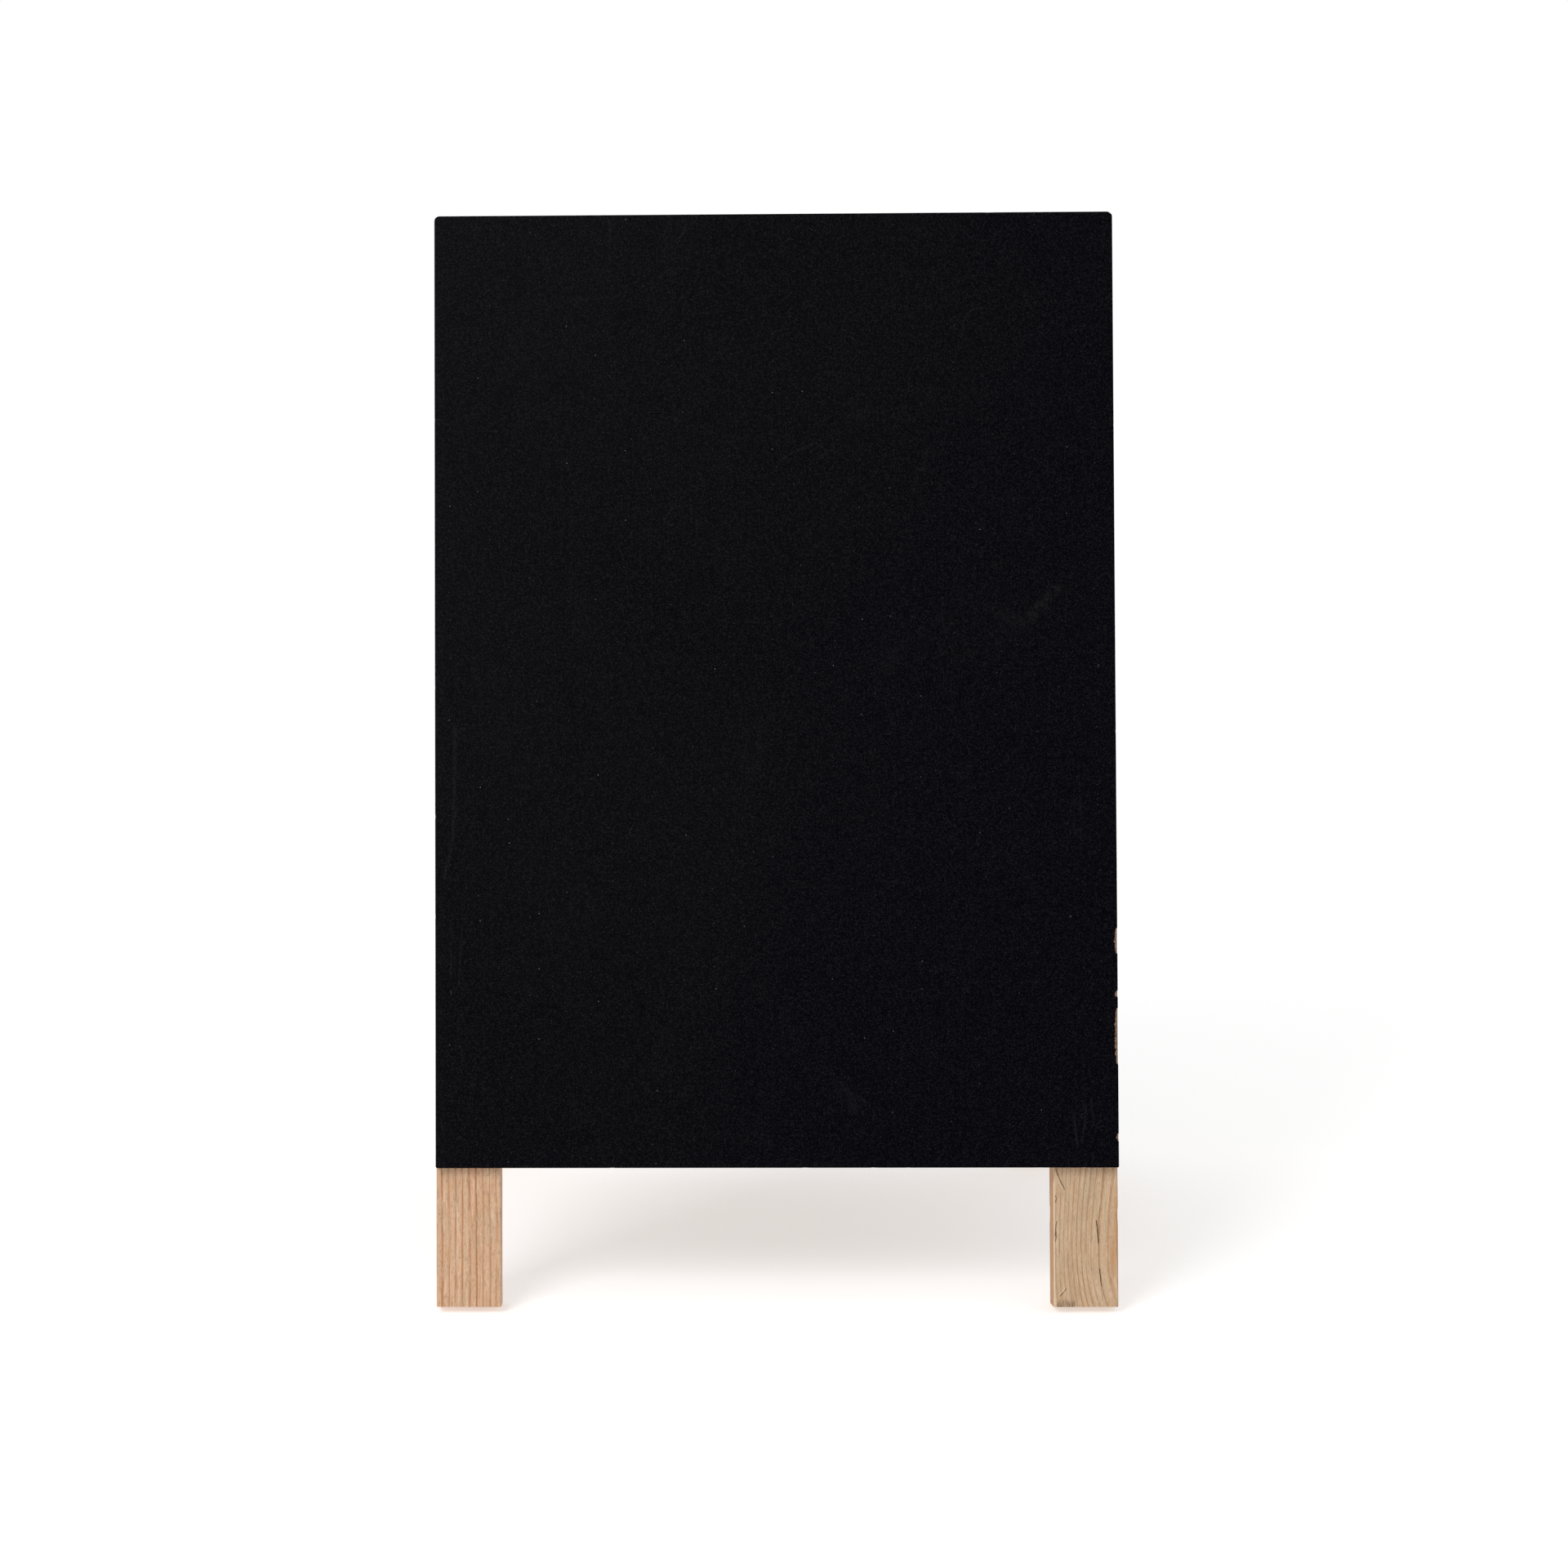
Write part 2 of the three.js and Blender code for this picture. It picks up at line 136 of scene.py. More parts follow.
class Graph:
    """A Principled material and short calls for the nodes that feed it."""

    def __init__(self, name):
        self.material = bpy.data.materials.new(name)
        self.material.use_nodes = True
        self.tree = self.material.node_tree
        self.shader = self.tree.nodes["Principled BSDF"]

    def node(self, kind, inputs=(), **settings):
        made = self.tree.nodes.new(kind)
        for name, value in settings.items():
            setattr(made, name, value)
        for name, value in dict(inputs).items():
            self.feed(made.inputs[name], value)
        return made

    def feed(self, socket, value):
        if isinstance(value, bpy.types.NodeSocket):
            self.tree.links.new(value, socket)
        else:
            socket.default_value = value

    def math(self, operation, first, second=0.0, third=0.0):
        made = self.node("ShaderNodeMath", operation=operation)
        for socket, value in zip(made.inputs, (first, second, third)):
            self.feed(socket, value)
        return made.outputs[0]

    def times(self, first, second):
        return self.math("MULTIPLY", first, second)

    def plus(self, first, second):
        return self.math("ADD", first, second)

    def between(self, value, low, high, out_low=0.0, out_high=1.0):
        """value's smooth way from low to high, as out_low to out_high."""
        made = self.node("ShaderNodeMapRange", interpolation_type="SMOOTHSTEP")
        for socket, number in zip(made.inputs, (value, low, high, out_low, out_high)):
            self.feed(socket, number)
        return made.outputs["Result"]

    def attribute(self, name):
        return self.node("ShaderNodeAttribute", attribute_name=name)

    def vectors(self, operation, *values):
        """The outputs of a vector maths node."""
        made = self.node("ShaderNodeVectorMath", operation=operation)
        for socket, value in zip(made.inputs, values):
            self.feed(socket, value)
        return made.outputs

    def part(self, vector, axis):
        return self.node("ShaderNodeSeparateXYZ", {"Vector": vector}).outputs[axis]

    def stretched(self, vector, scale):
        """vector times scale, axis by axis."""
        return self.vectors("MULTIPLY", vector, scale)["Vector"]

    def noise(self, vector, scale, detail=2.0, roughness=0.5):
        """Noise from 0 to 1 with that many waves to a unit along each axis."""
        inputs = {
            "Vector": self.stretched(vector, scale),
            "Scale": 1.0,
            "Detail": detail,
            "Roughness": roughness,
        }
        return self.node("ShaderNodeTexNoise", inputs).outputs["Fac"]

    def mix(self, share, first, second, blend="MIX"):
        made = self.node("ShaderNodeMix", data_type="RGBA", blend_type=blend)
        for socket, value in zip((made.inputs[0], made.inputs[6], made.inputs[7]), (share, first, second)):
            self.feed(socket, value)
        return made.outputs[2]

    def bump(self, height, distance, strength=1.0):
        inputs = {"Height": height, "Distance": distance, "Strength": strength}
        self.feed(self.shader.inputs["Normal"], self.node("ShaderNodeBump", inputs).outputs["Normal"])

    def set(self, **inputs):
        """Principled inputs, with underlines for spaces."""
        for name, value in inputs.items():
            self.feed(self.shader.inputs[name.replace("_", " ")], value)


def colour(red, green, blue):
    """A colour given as the eye sees it on a screen, 0 to 255, as the shaders take it."""

    def linear(level):
        share = level / 255
        return share / 12.92 if share <= 0.04045 else ((share + 0.055) / 1.055) ** 2.4

    return (linear(red), linear(green), linear(blue), 1.0)


# ---- materials ----


DARK_WOOD = colour(62, 46, 34)
PALE_WOOD = colour(226, 200, 170)
WARM_WOOD = colour(186, 128, 80)
PORE_BROWN = colour(104, 78, 56)
LATEWOOD_WIDTH = {"starts": 0.52, "full": 0.86, "ends": 0.93}  # of a year's ring

# Layers over the growth rings: waves to a millimetre across and along the grain, detail, the noise levels
# between which the layer comes in, its share and its colour.
WOOD_LAYERS = (
    (0.10, 0.03, 3.0, 0.35, 0.75, 0.22, colour(208, 178, 148)),  # pale patches
    (0.24, 0.09, 4.0, 0.45, 0.70, 0.28, colour(166, 146, 122)),  # grey patches
    (1.5, 0.10, 2.0, 0.50, 0.66, 0.34, colour(180, 130, 86)),  # brown streaks
    (1.8, 0.14, 2.0, 0.54, 0.70, 0.40, colour(236, 208, 178)),  # pale streaks
    (4.6, 0.8, 2.0, 0.53, 0.64, 0.25, colour(120, 92, 68)),  # short dark fibres
    (4.2, 0.9, 1.0, 0.62, 0.74, 0.42, colour(232, 208, 180)),  # short bright fibres
)


def growth_rings(g, grain, ring_mm):
    """How far the wood is latewood, from 0 to 1, and the rings' own number with its fraction."""
    from_pith = g.part(grain, "X")
    slow = g.math("MULTIPLY_ADD", g.noise(grain, (0.09, 0.06, 0.012)), 1.2, -0.6)
    quick = g.math("MULTIPLY_ADD", g.noise(grain, (0.5, 0.2, 0.05)), 0.3, -0.15)
    rings = g.plus(g.math("DIVIDE", from_pith, ring_mm), g.plus(slow, quick))
    across_ring = g.math("FRACT", rings)
    number = g.math("FLOOR", rings)
    year = g.node("ShaderNodeTexWhiteNoise", {"W": number}, noise_dimensions="1D").outputs["Value"]
    rise = g.between(across_ring, LATEWOOD_WIDTH["starts"], LATEWOOD_WIDTH["full"])
    fall = g.between(across_ring, LATEWOOD_WIDTH["ends"], 1.0, 1.0, 0.0)
    latewood = g.times(g.math("POWER", g.times(rise, fall), 1.4), g.between(year, 0.0, 1.0, 0.55, 1.0))
    return latewood, rings


def pine(name, early, late, ring_mm, ring_contrast, pore_level, marks=()):
    """Bare planed pine. The piece's "grain" attribute holds the distance from the pith, the way round it and the
    way along it, in millimetres. "tint" warms the wood (above 0) or pales it (below 0), where the paling is a
    painted highlight, and "stain" darkens it. The marks are splits and tears in a leg's face, as in LEG_LINES."""
    g = Graph(name)
    grain = g.attribute("grain").outputs["Vector"]
    tint = g.attribute("tint").outputs["Fac"]
    stain = g.attribute("stain").outputs["Fac"]
    latewood, rings = growth_rings(g, grain, ring_mm)
    years = g.node("ShaderNodeCombineXYZ", {"X": rings}).outputs["Vector"]
    dark_years = g.between(g.noise(years, (0.3, 1.0, 1.0)), 0.48, 0.68)
    fibres = g.noise(grain, (5.0, 5.0, 0.16), detail=4.0, roughness=0.65)
    pores = g.between(g.noise(grain, (2.6, 2.6, 0.5)), pore_level, pore_level + 0.05)
    ragged = g.between(g.noise(grain, (2.6, 2.6, 0.35), detail=3.0), 0.34, 0.58)

    wood = g.mix(g.times(latewood, ring_contrast), early, late)
    wood = g.mix(g.times(dark_years, 0.12), wood, late)
    wood = g.mix(g.between(fibres, 0.25, 0.75, 0.34, 0.0), wood, late)
    for across, along, detail, low, high, share, tone in WOOD_LAYERS:
        layer = g.noise(grain, (across, across, along), detail, roughness=0.55)
        wood = g.mix(g.between(layer, low, high, 0.0, share), wood, tone)
    wood = g.mix(g.times(pores, 0.30), wood, PORE_BROWN)
    wood = g.mix(g.math("MAXIMUM", tint, 0.0), wood, WARM_WOOD)
    # painted highlight: a tint below 0 paints the wood pale where an arris catches the light
    wood = g.mix(g.math("MAXIMUM", g.times(tint, -1.0), 0.0), wood, PALE_WOOD)
    wood = g.mix(g.times(g.math("POWER", stain, 0.7), ragged), wood, DARK_WOOD)
    wood = marked_wood(g, wood, marks)

    rough = g.plus(g.math("MULTIPLY_ADD", fibres, 0.16, 0.54), g.times(latewood, -0.08))
    height = g.plus(g.times(fibres, 0.7), g.plus(g.times(latewood, 0.35), g.times(pores, -0.6)))
    g.set(Base_Color=wood, Roughness=rough, Specular_IOR_Level=0.24)
    g.bump(height, 0.12 * MM, 0.7)
    return g.material


def marked_wood(g, wood, marks):
    """wood with thin marks drawn on the leg's face, which lies at LEG_FACE_Y."""
    if not marks:
        return wood
    own = g.attribute("own").outputs["Vector"]
    flat = g.stretched(own, (1.0, 0.0, 1.0))
    depth = g.part(own, "Y")
    on_face = g.between(depth, LEG_FACE_Y + 0.8, LEG_FACE_Y + 1.2, 1.0, 0.0)
    wander = g.noise(flat, (1.1, 0.0, 1.1), detail=2.0)
    shaken = g.node("ShaderNodeVectorMath", operation="MULTIPLY_ADD")
    g.feed(shaken.inputs[0], g.node("ShaderNodeCombineXYZ", {"X": g.plus(wander, -0.5)}).outputs["Vector"])
    shaken.inputs[1].default_value = (0.5, 0.0, 0.0)
    g.feed(shaken.inputs[2], flat)
    split = raised = 0.0
    for points, half_width, strength in marks:
        line = g.times(line_through(g, shaken.outputs["Vector"], points, half_width), abs(strength))
        if strength > 0:
            split = g.math("MAXIMUM", split, line)
        else:
            raised = g.math("MAXIMUM", raised, line)
    wood = g.mix(g.times(raised, on_face), wood, PALE_WOOD)
    return g.mix(g.times(split, on_face), wood, DARK_WOOD)


def line_through(g, flat, points, half_width):
    """1 on the line through the points, falling to 0 at half_width from it."""
    line = 0.0
    for start, end in zip(points, points[1:]):
        line = g.math("MAXIMUM", line, near_line(g, flat, start, end, half_width))
    return line


def fibreboard(name):
    """Raw brown hardboard, for the back of the panels."""
    g = Graph(name)
    own = g.attribute("own").outputs["Vector"]
    fine = g.noise(own, (2.4, 2.4, 2.4), detail=5.0, roughness=0.7)
    broad = g.noise(own, (0.03, 0.03, 0.03), detail=4.0)
    threads = g.between(g.noise(own, (0.9, 0.9, 3.0), detail=3.0), 0.60, 0.72)
    board = g.mix(fine, colour(126, 96, 68), colour(168, 134, 98))
    board = g.mix(g.between(broad, 0.35, 0.7, 0.0, 0.35), board, colour(108, 80, 56))
    board = g.mix(g.times(threads, 0.35), board, colour(196, 166, 128))
    g.set(Base_Color=board, Roughness=g.math("MULTIPLY_ADD", fine, 0.15, 0.72), Specular_IOR_Level=0.2)
    g.bump(fine, 0.08 * MM, 0.6)
    return g.material


leg_low, leg_high = own_box("front_right_leg", "front")
LEG_FACE_Y = leg_low.y
LEG_FACE_LOW = leg_low.z
LEG_HALF_WIDTH = (leg_high.x - leg_low.x) / 2
panel_low, panel_high = own_box("front_panel", "front")
PANEL_LOW = panel_low.z
PANEL_THICKNESS = panel_high.y - panel_low.y
PANEL_HIGH_X = panel_high.x


def leg_points(*places):
    """(x, z) points on the front right leg's face, from (in from its outer side, down from the panel)."""
    return tuple((PANEL_HIGH_X - inwards, PANEL_LOW - down) for inwards, down in places)


# Splits, tears and pale slivers in the front right leg's face: points, half the width in millimetres, and
# strength, above 0 dark and below 0 pale.
LEG_LINES = (
    (leg_points((6.7, 16.6), (6.4, 18.8), (6.2, 21.9), (6.0, 23.4)), 0.30, 0.85),
    (leg_points((6.0, 23.4), (5.8, 31.3)), 0.12, 0.18),
    (leg_points((5.8, 31.3), (5.6, 33.0), (5.3, 36.5)), 0.26, 0.80),
    (leg_points((5.3, 36.5), (5.0, 41.0)), 0.16, 0.45),
    (leg_points((19.0, 0.6), (18.0, 3.6), (16.4, 6.9)), 0.24, 0.70),
    (leg_points((19.3, 1.8), (18.3, 4.4), (16.9, 6.7)), 0.16, -0.60),
    (leg_points((18.0, 39.6), (16.7, 38.3), (16.1, 37.2)), 0.20, 0.60),
    (leg_points((18.8, 39.8), (16.9, 37.9), (16.3, 37.1)), 0.16, -0.55),
    (leg_points((19.2, 8.9), (18.9, 9.7), (19.2, 10.9)), 0.20, 0.65),
    (leg_points((18.8, 16.6), (19.2, 18.8), (19.0, 21.9), (19.3, 22.9)), 0.20, 0.65),
    (leg_points((19.1, 24.9), (19.1, 27.9)), 0.14, 0.45),
)
SPLIT_FROM = 0.6  # a line at least this dark is cut into the wood as well
SPLIT_SHARE = 0.4  # of the line's half width
SPLIT_DEPTH = 0.5
SPLITS = []
for points, half_width, strength in LEG_LINES:
    if strength >= SPLIT_FROM:
        SPLITS += [(start, end, SPLIT_SHARE * half_width) for start, end in zip(points, points[1:])]

CHALK = colour(176, 176, 180)
RUBBED_BLACK = colour(6, 5, 7)
FIBRE_DARK = colour(94, 74, 60)
FIBRE_PALE = colour(160, 132, 110)
# The board's black runs from PAINT_DEEP to PAINT_HAZY_AND_LIT. The hazy end carries the chalk haze's clouds and
# also painted light: a gradient along PAINTED_LIGHT_WAY, lighter up and to the left.
PAINT_DEEP = colour(1.8, 1.2, 6.0)
PAINT_HAZY_AND_LIT = colour(8.4, 8.3, 10.3)
PAINTED_LIGHT_WAY = Vector((-0.0042, 0.0, 0.0020))  # painted light: a painted gradient that makes the paint lighter up and to the left
HAZE_MIDDLE = 0.59  # how thick the haze, with its painted light, is in the panel's middle
HAZE_CLOUDS = 1.1
HAZE_FULL = 1.45

# Marks on the front writing face, each a row of points (across, up) from the panel's middle in millimetres,
# then half its width and its strength: above 0 chalky, below 0 dark.
FACE_MARKS = (
    (((-98.9, -12.0), (-99.0, -30.0), (-99.4, -45.0), (-102.2, -58.0)), 0.9, 0.38),
    (((-96.7, -74.0), (-97.7, -91.0)), 0.7, 0.24),
    (((-99.7, -72.0), (-100.2, -88.0)), 0.6, 0.20),
    (((-100.2, -93.0), (-100.0, -94.0)), 0.45, 1.6),
    (((-104.0, 146.0), (-104.0, -146.0)), 2.8, 0.10),
    (((-100.0, -15.0), (-85.0, -13.0)), 1.4, 0.14),
    (((-50.4, 145.6), (-50.6, 138.5)), 0.5, 0.35),
    (((-26.9, 143.5), (-28.0, 141.0), (-30.4, 139.0)), 0.5, 0.4),
    (((-32.0, 145.5), (-33.5, 141.5)), 0.4, 0.35),
    (((-35.0, 128.0), (-32.5, 130.5), (-30.0, 129.0)), 0.6, 0.25),
    (((0.1, 67.2), (3.0, 71.5), (6.4, 73.5), (12.8, 76.1), (16.6, 73.5)), 0.55, 0.3),
    (((58.5, 109.0), (59.0, 114.0), (61.0, 117.0), (64.6, 117.8)), 0.55, 0.3),
    (((43.0, 61.0), (44.5, 66.0), (47.0, 73.0)), 1.6, 0.16),
    (((-34.0, 52.0), (-31.5, 56.0)), 0.5, 0.35),
    (((-23.9, 53.3), (-23.9, 47.0)), 0.35, 0.3),
    (((51.9, 28.0), (51.8, 22.0), (52.8, 17.0), (54.4, 20.0)), 0.7, 0.2),
    (((67.1, 25.5), (69.5, 22.6), (72.2, 21.4)), 1.9, 0.22),
    (((72.2, 21.4), (77.0, 20.2), (81.0, 22.4)), 2.3, 0.32),
    (((79.0, 23.2), (83.6, 27.0), (87.3, 31.0)), 2.2, 0.42),
    (((93.6, -26.0), (94.1, -49.0)), 0.4, 0.28),
    (((91.8, -35.0), (92.2, -46.0)), 0.35, 0.22),
    (((-45.0, -43.0), (-44.6, -45.2), (-43.2, -45.0)), 0.4, 0.4),
    (((19.5, -123.0), (22.0, -126.0), (24.5, -128.0)), 4.2, 0.28),
    (((91.1, -131.0), (92.4, -141.0)), 0.55, 0.50),
    (((94.9, -128.5), (94.6, -134.0), (93.6, -140.0)), 0.6, 0.40),
    (((96.6, -127.0), (97.2, -134.0)), 0.5, 0.34),
    (((3.0, -102.0), (6.0, -110.0)), 4.5, 0.10),
    (((38.6, -109.0), (38.4, -120.0)), 0.7, 0.16),
    (((-18.5, -87.0), (-17.5, -94.0)), 0.7, 0.16),
    (((-41.6, 48.3), (-27.0, 47.4), (-13.8, 47.0)), 0.3, -0.6),
    (((-79.0, 131.0), (-78.0, 124.0)), 4.0, -0.5),
    (((-47.0, 117.0), (-41.0, 116.0)), 3.6, -0.7),
    (((-67.0, 96.0), (-62.0, 95.0)), 3.2, -0.6),
    (((-88.0, 88.5), (-81.0, 93.0)), 2.8, -0.7),
    (((-22.5, 85.0), (-18.0, 87.5)), 3.4, -0.7),
    (((-91.5, -39.0), (-89.0, -38.0)), 2.4, -0.7),
)
# Layers of chalk dust: cells to a millimetre, a dot's radius in millimetres, the share of the cells left
# empty and the brightest dot's strength.
SPECKS = (
    (0.11, 0.21, 0.84, 0.28),
    (0.16, 0.18, 0.60, 0.10),
    (0.40, 0.16, 0.50, 0.045),
    (0.90, 0.14, 0.50, 0.025),
)
BROAD_MARK = 1.0  # half width from which a mark is a smudge, not a line
MARK_GAIN = 0.030  # how much of the chalk's colour a mark of strength 1 adds


def near_line(g, own, start, end, half_width):
    """1 on the line from start to end across the writing face, falling to 0 at half_width from it."""
    first = Vector((start[0], 0.0, start[1]))
    way = Vector((end[0], 0.0, end[1])) - first
    offset = g.vectors("SUBTRACT", own, first)["Vector"]
    along = g.vectors("DOT_PRODUCT", offset, way / way.length_squared)["Value"]
    share = g.math("MINIMUM", g.math("MAXIMUM", along, 0.0), 1.0)
    foot = g.node("ShaderNodeVectorMath", {"Scale": share}, operation="SCALE")
    foot.inputs[0].default_value = way
    apart = g.vectors("DISTANCE", offset, foot.outputs["Vector"])["Value"]
    return g.between(apart, 0.1 * half_width, half_width, 1.0, 0.0)


def specks(g, flat, per_mm, size, rare, strength):
    """Dots of chalk dust, one in some of the cells, with each cell's own brightness."""
    place = g.node("ShaderNodeSeparateXYZ", {"Vector": flat})
    level = g.node("ShaderNodeCombineXYZ", {"X": place.outputs["X"], "Y": place.outputs["Z"]})
    where = {"Vector": level.outputs["Vector"], "Scale": per_mm}
    cells = g.node("ShaderNodeTexVoronoi", where, voronoi_dimensions="2D")
    chosen = g.node("ShaderNodeSeparateColor", {"Color": cells.outputs["Color"]}).outputs["Red"]
    dot = g.between(cells.outputs["Distance"], 0.4 * size * per_mm, size * per_mm, 1.0, 0.0)
    return g.times(dot, g.between(chosen, rare, 1.0, 0.0, strength))


def marks_and_dust(g, flat, marks, skips, blotches):
    """How chalky, how darkly rubbed and how dusty the writing face is. Lines are broken up by skips, smudges
    by blotches."""
    dotted = g.between(skips, 0.36, 0.60, 0.25, 1.0)
    chalked = rubbed = dusty = 0.0
    for points, half_width, strength in marks:
        line = line_through(g, flat, points, half_width)
        drawn = g.times(g.times(line, abs(strength)), blotches if half_width > BROAD_MARK else dotted)
        if strength > 0:
            chalked = g.math("MAXIMUM", chalked, drawn)
        else:
            rubbed = g.math("MAXIMUM", rubbed, drawn)
    for per_mm, size, rare, strength in SPECKS:
        dusty = g.math("MAXIMUM", dusty, specks(g, flat, per_mm, size, rare, strength))
    return chalked, rubbed, dusty


def worn_through(g, paint, own, chip, fine):
    """paint with the board's own fibre bare where its edge is chipped."""
    ragged = g.between(g.noise(own, (2.2, 2.2, 2.2), detail=3.0), 0.34, 0.44)
    bare = g.times(g.between(chip, 0.35, 0.65), ragged)
    return g.mix(bare, paint, g.mix(fine, FIBRE_DARK, FIBRE_PALE))


def board_paint(name, marks):
    """Matt black board paint, with a chalk haze, a painted light gradient that lightens it up and to the left,
    marks, specks and fine texture, worn through at chipped edges. "own" holds the place on the panel from its
    middle, in millimetres, and "chip" the worn edges."""
    g = Graph(name)
    own = g.attribute("own").outputs["Vector"]
    chip = g.attribute("chip").outputs["Fac"]
    flat = g.stretched(own, (1.0, 0.0, 1.0))

    fine = g.noise(own, (3.0, 3.0, 3.0), detail=2.0, roughness=0.75)
    weave = g.math("MAXIMUM", g.noise(flat, (2.4, 0.0, 0.16)), g.noise(flat, (0.16, 0.0, 2.4)))
    cloud = g.noise(flat, (0.014, 0.0, 0.011), detail=4.0, roughness=0.6)
    wiped = g.noise(flat, (0.045, 0.0, 0.03), detail=5.0, roughness=0.6)
    skips = g.noise(flat, (1.3, 0.0, 0.9), detail=3.0)
    blotches = g.between(g.noise(flat, (0.45, 0.0, 0.6), detail=5.0, roughness=0.7), 0.38, 0.66)
    # painted light: how far a point lies along the painted light gradient, lighter up and to the left
    across = g.vectors("DOT_PRODUCT", flat, PAINTED_LIGHT_WAY)["Value"]
    clouds = g.math("MULTIPLY_ADD", cloud, HAZE_CLOUDS, HAZE_MIDDLE - HAZE_CLOUDS / 2)
    haze = g.plus(across, clouds)

    # deep black to hazy, by the haze's clouds and the painted light gradient
    paint = g.mix(g.between(haze, 0.0, HAZE_FULL), PAINT_DEEP, PAINT_HAZY_AND_LIT)
    paint = g.mix(g.between(fine, 0.46, 0.72, 0.0, 0.024), paint, CHALK)
    paint = g.mix(g.between(weave, 0.5, 0.75, 0.0, 0.0025), paint, CHALK)
    ghost = g.times(g.between(wiped, 0.56, 0.80), skips)
    paint = g.mix(g.times(ghost, 0.006), paint, CHALK)
    chalked, rubbed, dusty = marks_and_dust(g, flat, marks, skips, blotches)
    face = -PANEL_THICKNESS / 2
    on_face = g.between(g.part(own, "Y"), face + 0.1, face + 0.3, 1.0, 0.0)
    paint = g.mix(g.times(g.times(chalked, MARK_GAIN), on_face), paint, CHALK)
    paint = g.mix(g.times(rubbed, on_face), paint, RUBBED_BLACK)
    paint = g.mix(g.times(dusty, on_face), paint, CHALK)
    paint = worn_through(g, paint, own, chip, fine)

    rough = g.plus(g.math("MULTIPLY_ADD", fine, 0.12, 0.70), g.times(ghost, 0.1))
    g.set(Base_Color=paint, Roughness=rough, Specular_IOR_Level=0.02)
    g.bump(g.plus(fine, g.times(weave, 0.5)), 0.03 * MM, 0.5)
    return g.material


def plated(name, bright, dull, roughness):
    """Plated metal, with fine scratches and a duller film here and there."""
    g = Graph(name)
    place = g.node("ShaderNodeTexCoord").outputs["Object"]
    film = g.noise(place, (260.0, 260.0, 260.0), detail=4.0, roughness=0.6)
    scratches = g.noise(place, (300.0, 5200.0, 5200.0), detail=2.0)
    grime = g.between(g.noise(place, (900.0, 900.0, 900.0), detail=3.0), 0.55, 0.75)
    metal = g.mix(g.between(film, 0.35, 0.7), bright, dull)
    metal = g.mix(g.times(grime, 0.4), metal, colour(70, 62, 50))
    rough = g.plus(g.math("MULTIPLY_ADD", film, 0.25, roughness - 0.1), g.times(grime, 0.15))
    g.set(Base_Color=metal, Metallic=1.0, Roughness=rough)
    g.bump(scratches, 0.01 * MM, 0.5)
    return g.material


MATERIALS = {
    "left": pine("pine_quarter_sawn", colour(214, 180, 149), colour(168, 100, 52), 2.0, 1.0, 0.63),
    "right": pine("pine_flat_sawn", colour(204, 178, 146), colour(154, 106, 68), 0.60, 0.82, 0.64, LEG_LINES),
    "other": pine("pine_plain", colour(203, 172, 138), colour(164, 114, 74), 1.6, 0.85, 0.63),
    "front_face": board_paint("board_paint_front", FACE_MARKS),
    "rear_face": board_paint("board_paint_rear", ()),
    "raw": fibreboard("hardboard_back"),
    "brass": plated("brass_plate", colour(214, 182, 112), colour(180, 146, 82), 0.34),
    "zinc": plated("zinc_plate", colour(206, 208, 212), colour(178, 180, 184), 0.34),
}


# ---- mesh tools, in millimetres ----


def skin(rings):
    """A bmesh over rings of points, all alike in number, with an n-gon at each end."""
    bm = bmesh.new()
    made = [[bm.verts.new(point) for point in ring] for ring in rings]
    count = len(rings[0])
    for near, far in zip(made, made[1:]):
        for i in range(count):
            j = (i + 1) % count
            bm.faces.new((near[i], near[j], far[j], far[i]))
    bm.faces.new(made[0])
    bm.faces.new(made[-1])
    bmesh.ops.recalc_face_normals(bm, faces=bm.faces)
    return bm


def to_mesh(bm, name="shape"):
    mesh = bpy.data.meshes.new(name)
    bm.to_mesh(mesh)
    bm.free()
    return mesh


def combined(mesh, tools, operation):
    """mesh with the tools, also meshes, all cut from it or joined to it."""
    body = bpy.data.objects.new("body", mesh)
    bpy.context.scene.collection.objects.link(body)
    helpers = []
    for tool in tools:
        helper = bpy.data.objects.new("tool", tool)
        bpy.context.scene.collection.objects.link(helper)
        helpers.append(helper)
        step = body.modifiers.new("step", "BOOLEAN")
        step.operation = operation
        step.solver = "EXACT"
        step.object = helper
    bpy.context.view_layer.update()
    graph = bpy.context.evaluated_depsgraph_get()
    result = bpy.data.meshes.new_from_object(body.evaluated_get(graph), depsgraph=graph)
    for done in (body, *helpers):
        bpy.data.objects.remove(done)
    return result


def set_points(mesh, name, kind, values):
    """Stores one value for each vertex: a number, or three for FLOAT_VECTOR."""
    attribute = mesh.attributes.new(name, kind, "POINT")
    if kind == "FLOAT":
        attribute.data.foreach_set("value", values)
    else:
        attribute.data.foreach_set("vector", [number for value in values for number in value])


SMOOTH_UNDER = math.radians(32)


def finished(name, mesh, matrix, body, slot, nodes, materials):
    """Puts a mesh in the row frame as a piece that rides on a body and stands for CAD nodes."""
    mesh.name = name
    mesh.transform(matrix)
    slots = [polygon.material_index for polygon in mesh.polygons]
    mesh.materials.clear()
    for material in materials:
        mesh.materials.append(material)
    mesh.polygons.foreach_set("material_index", slots)
    mesh.polygons.foreach_set("use_smooth", [True] * len(mesh.polygons))
    mesh.set_sharp_from_angle(angle=SMOOTH_UNDER)
    piece = bpy.data.objects.new(name, mesh)
    bpy.context.scene.collection.objects.link(piece)
    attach(piece, body)
    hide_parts(*nodes)


# ---- battens: legs and rails ----

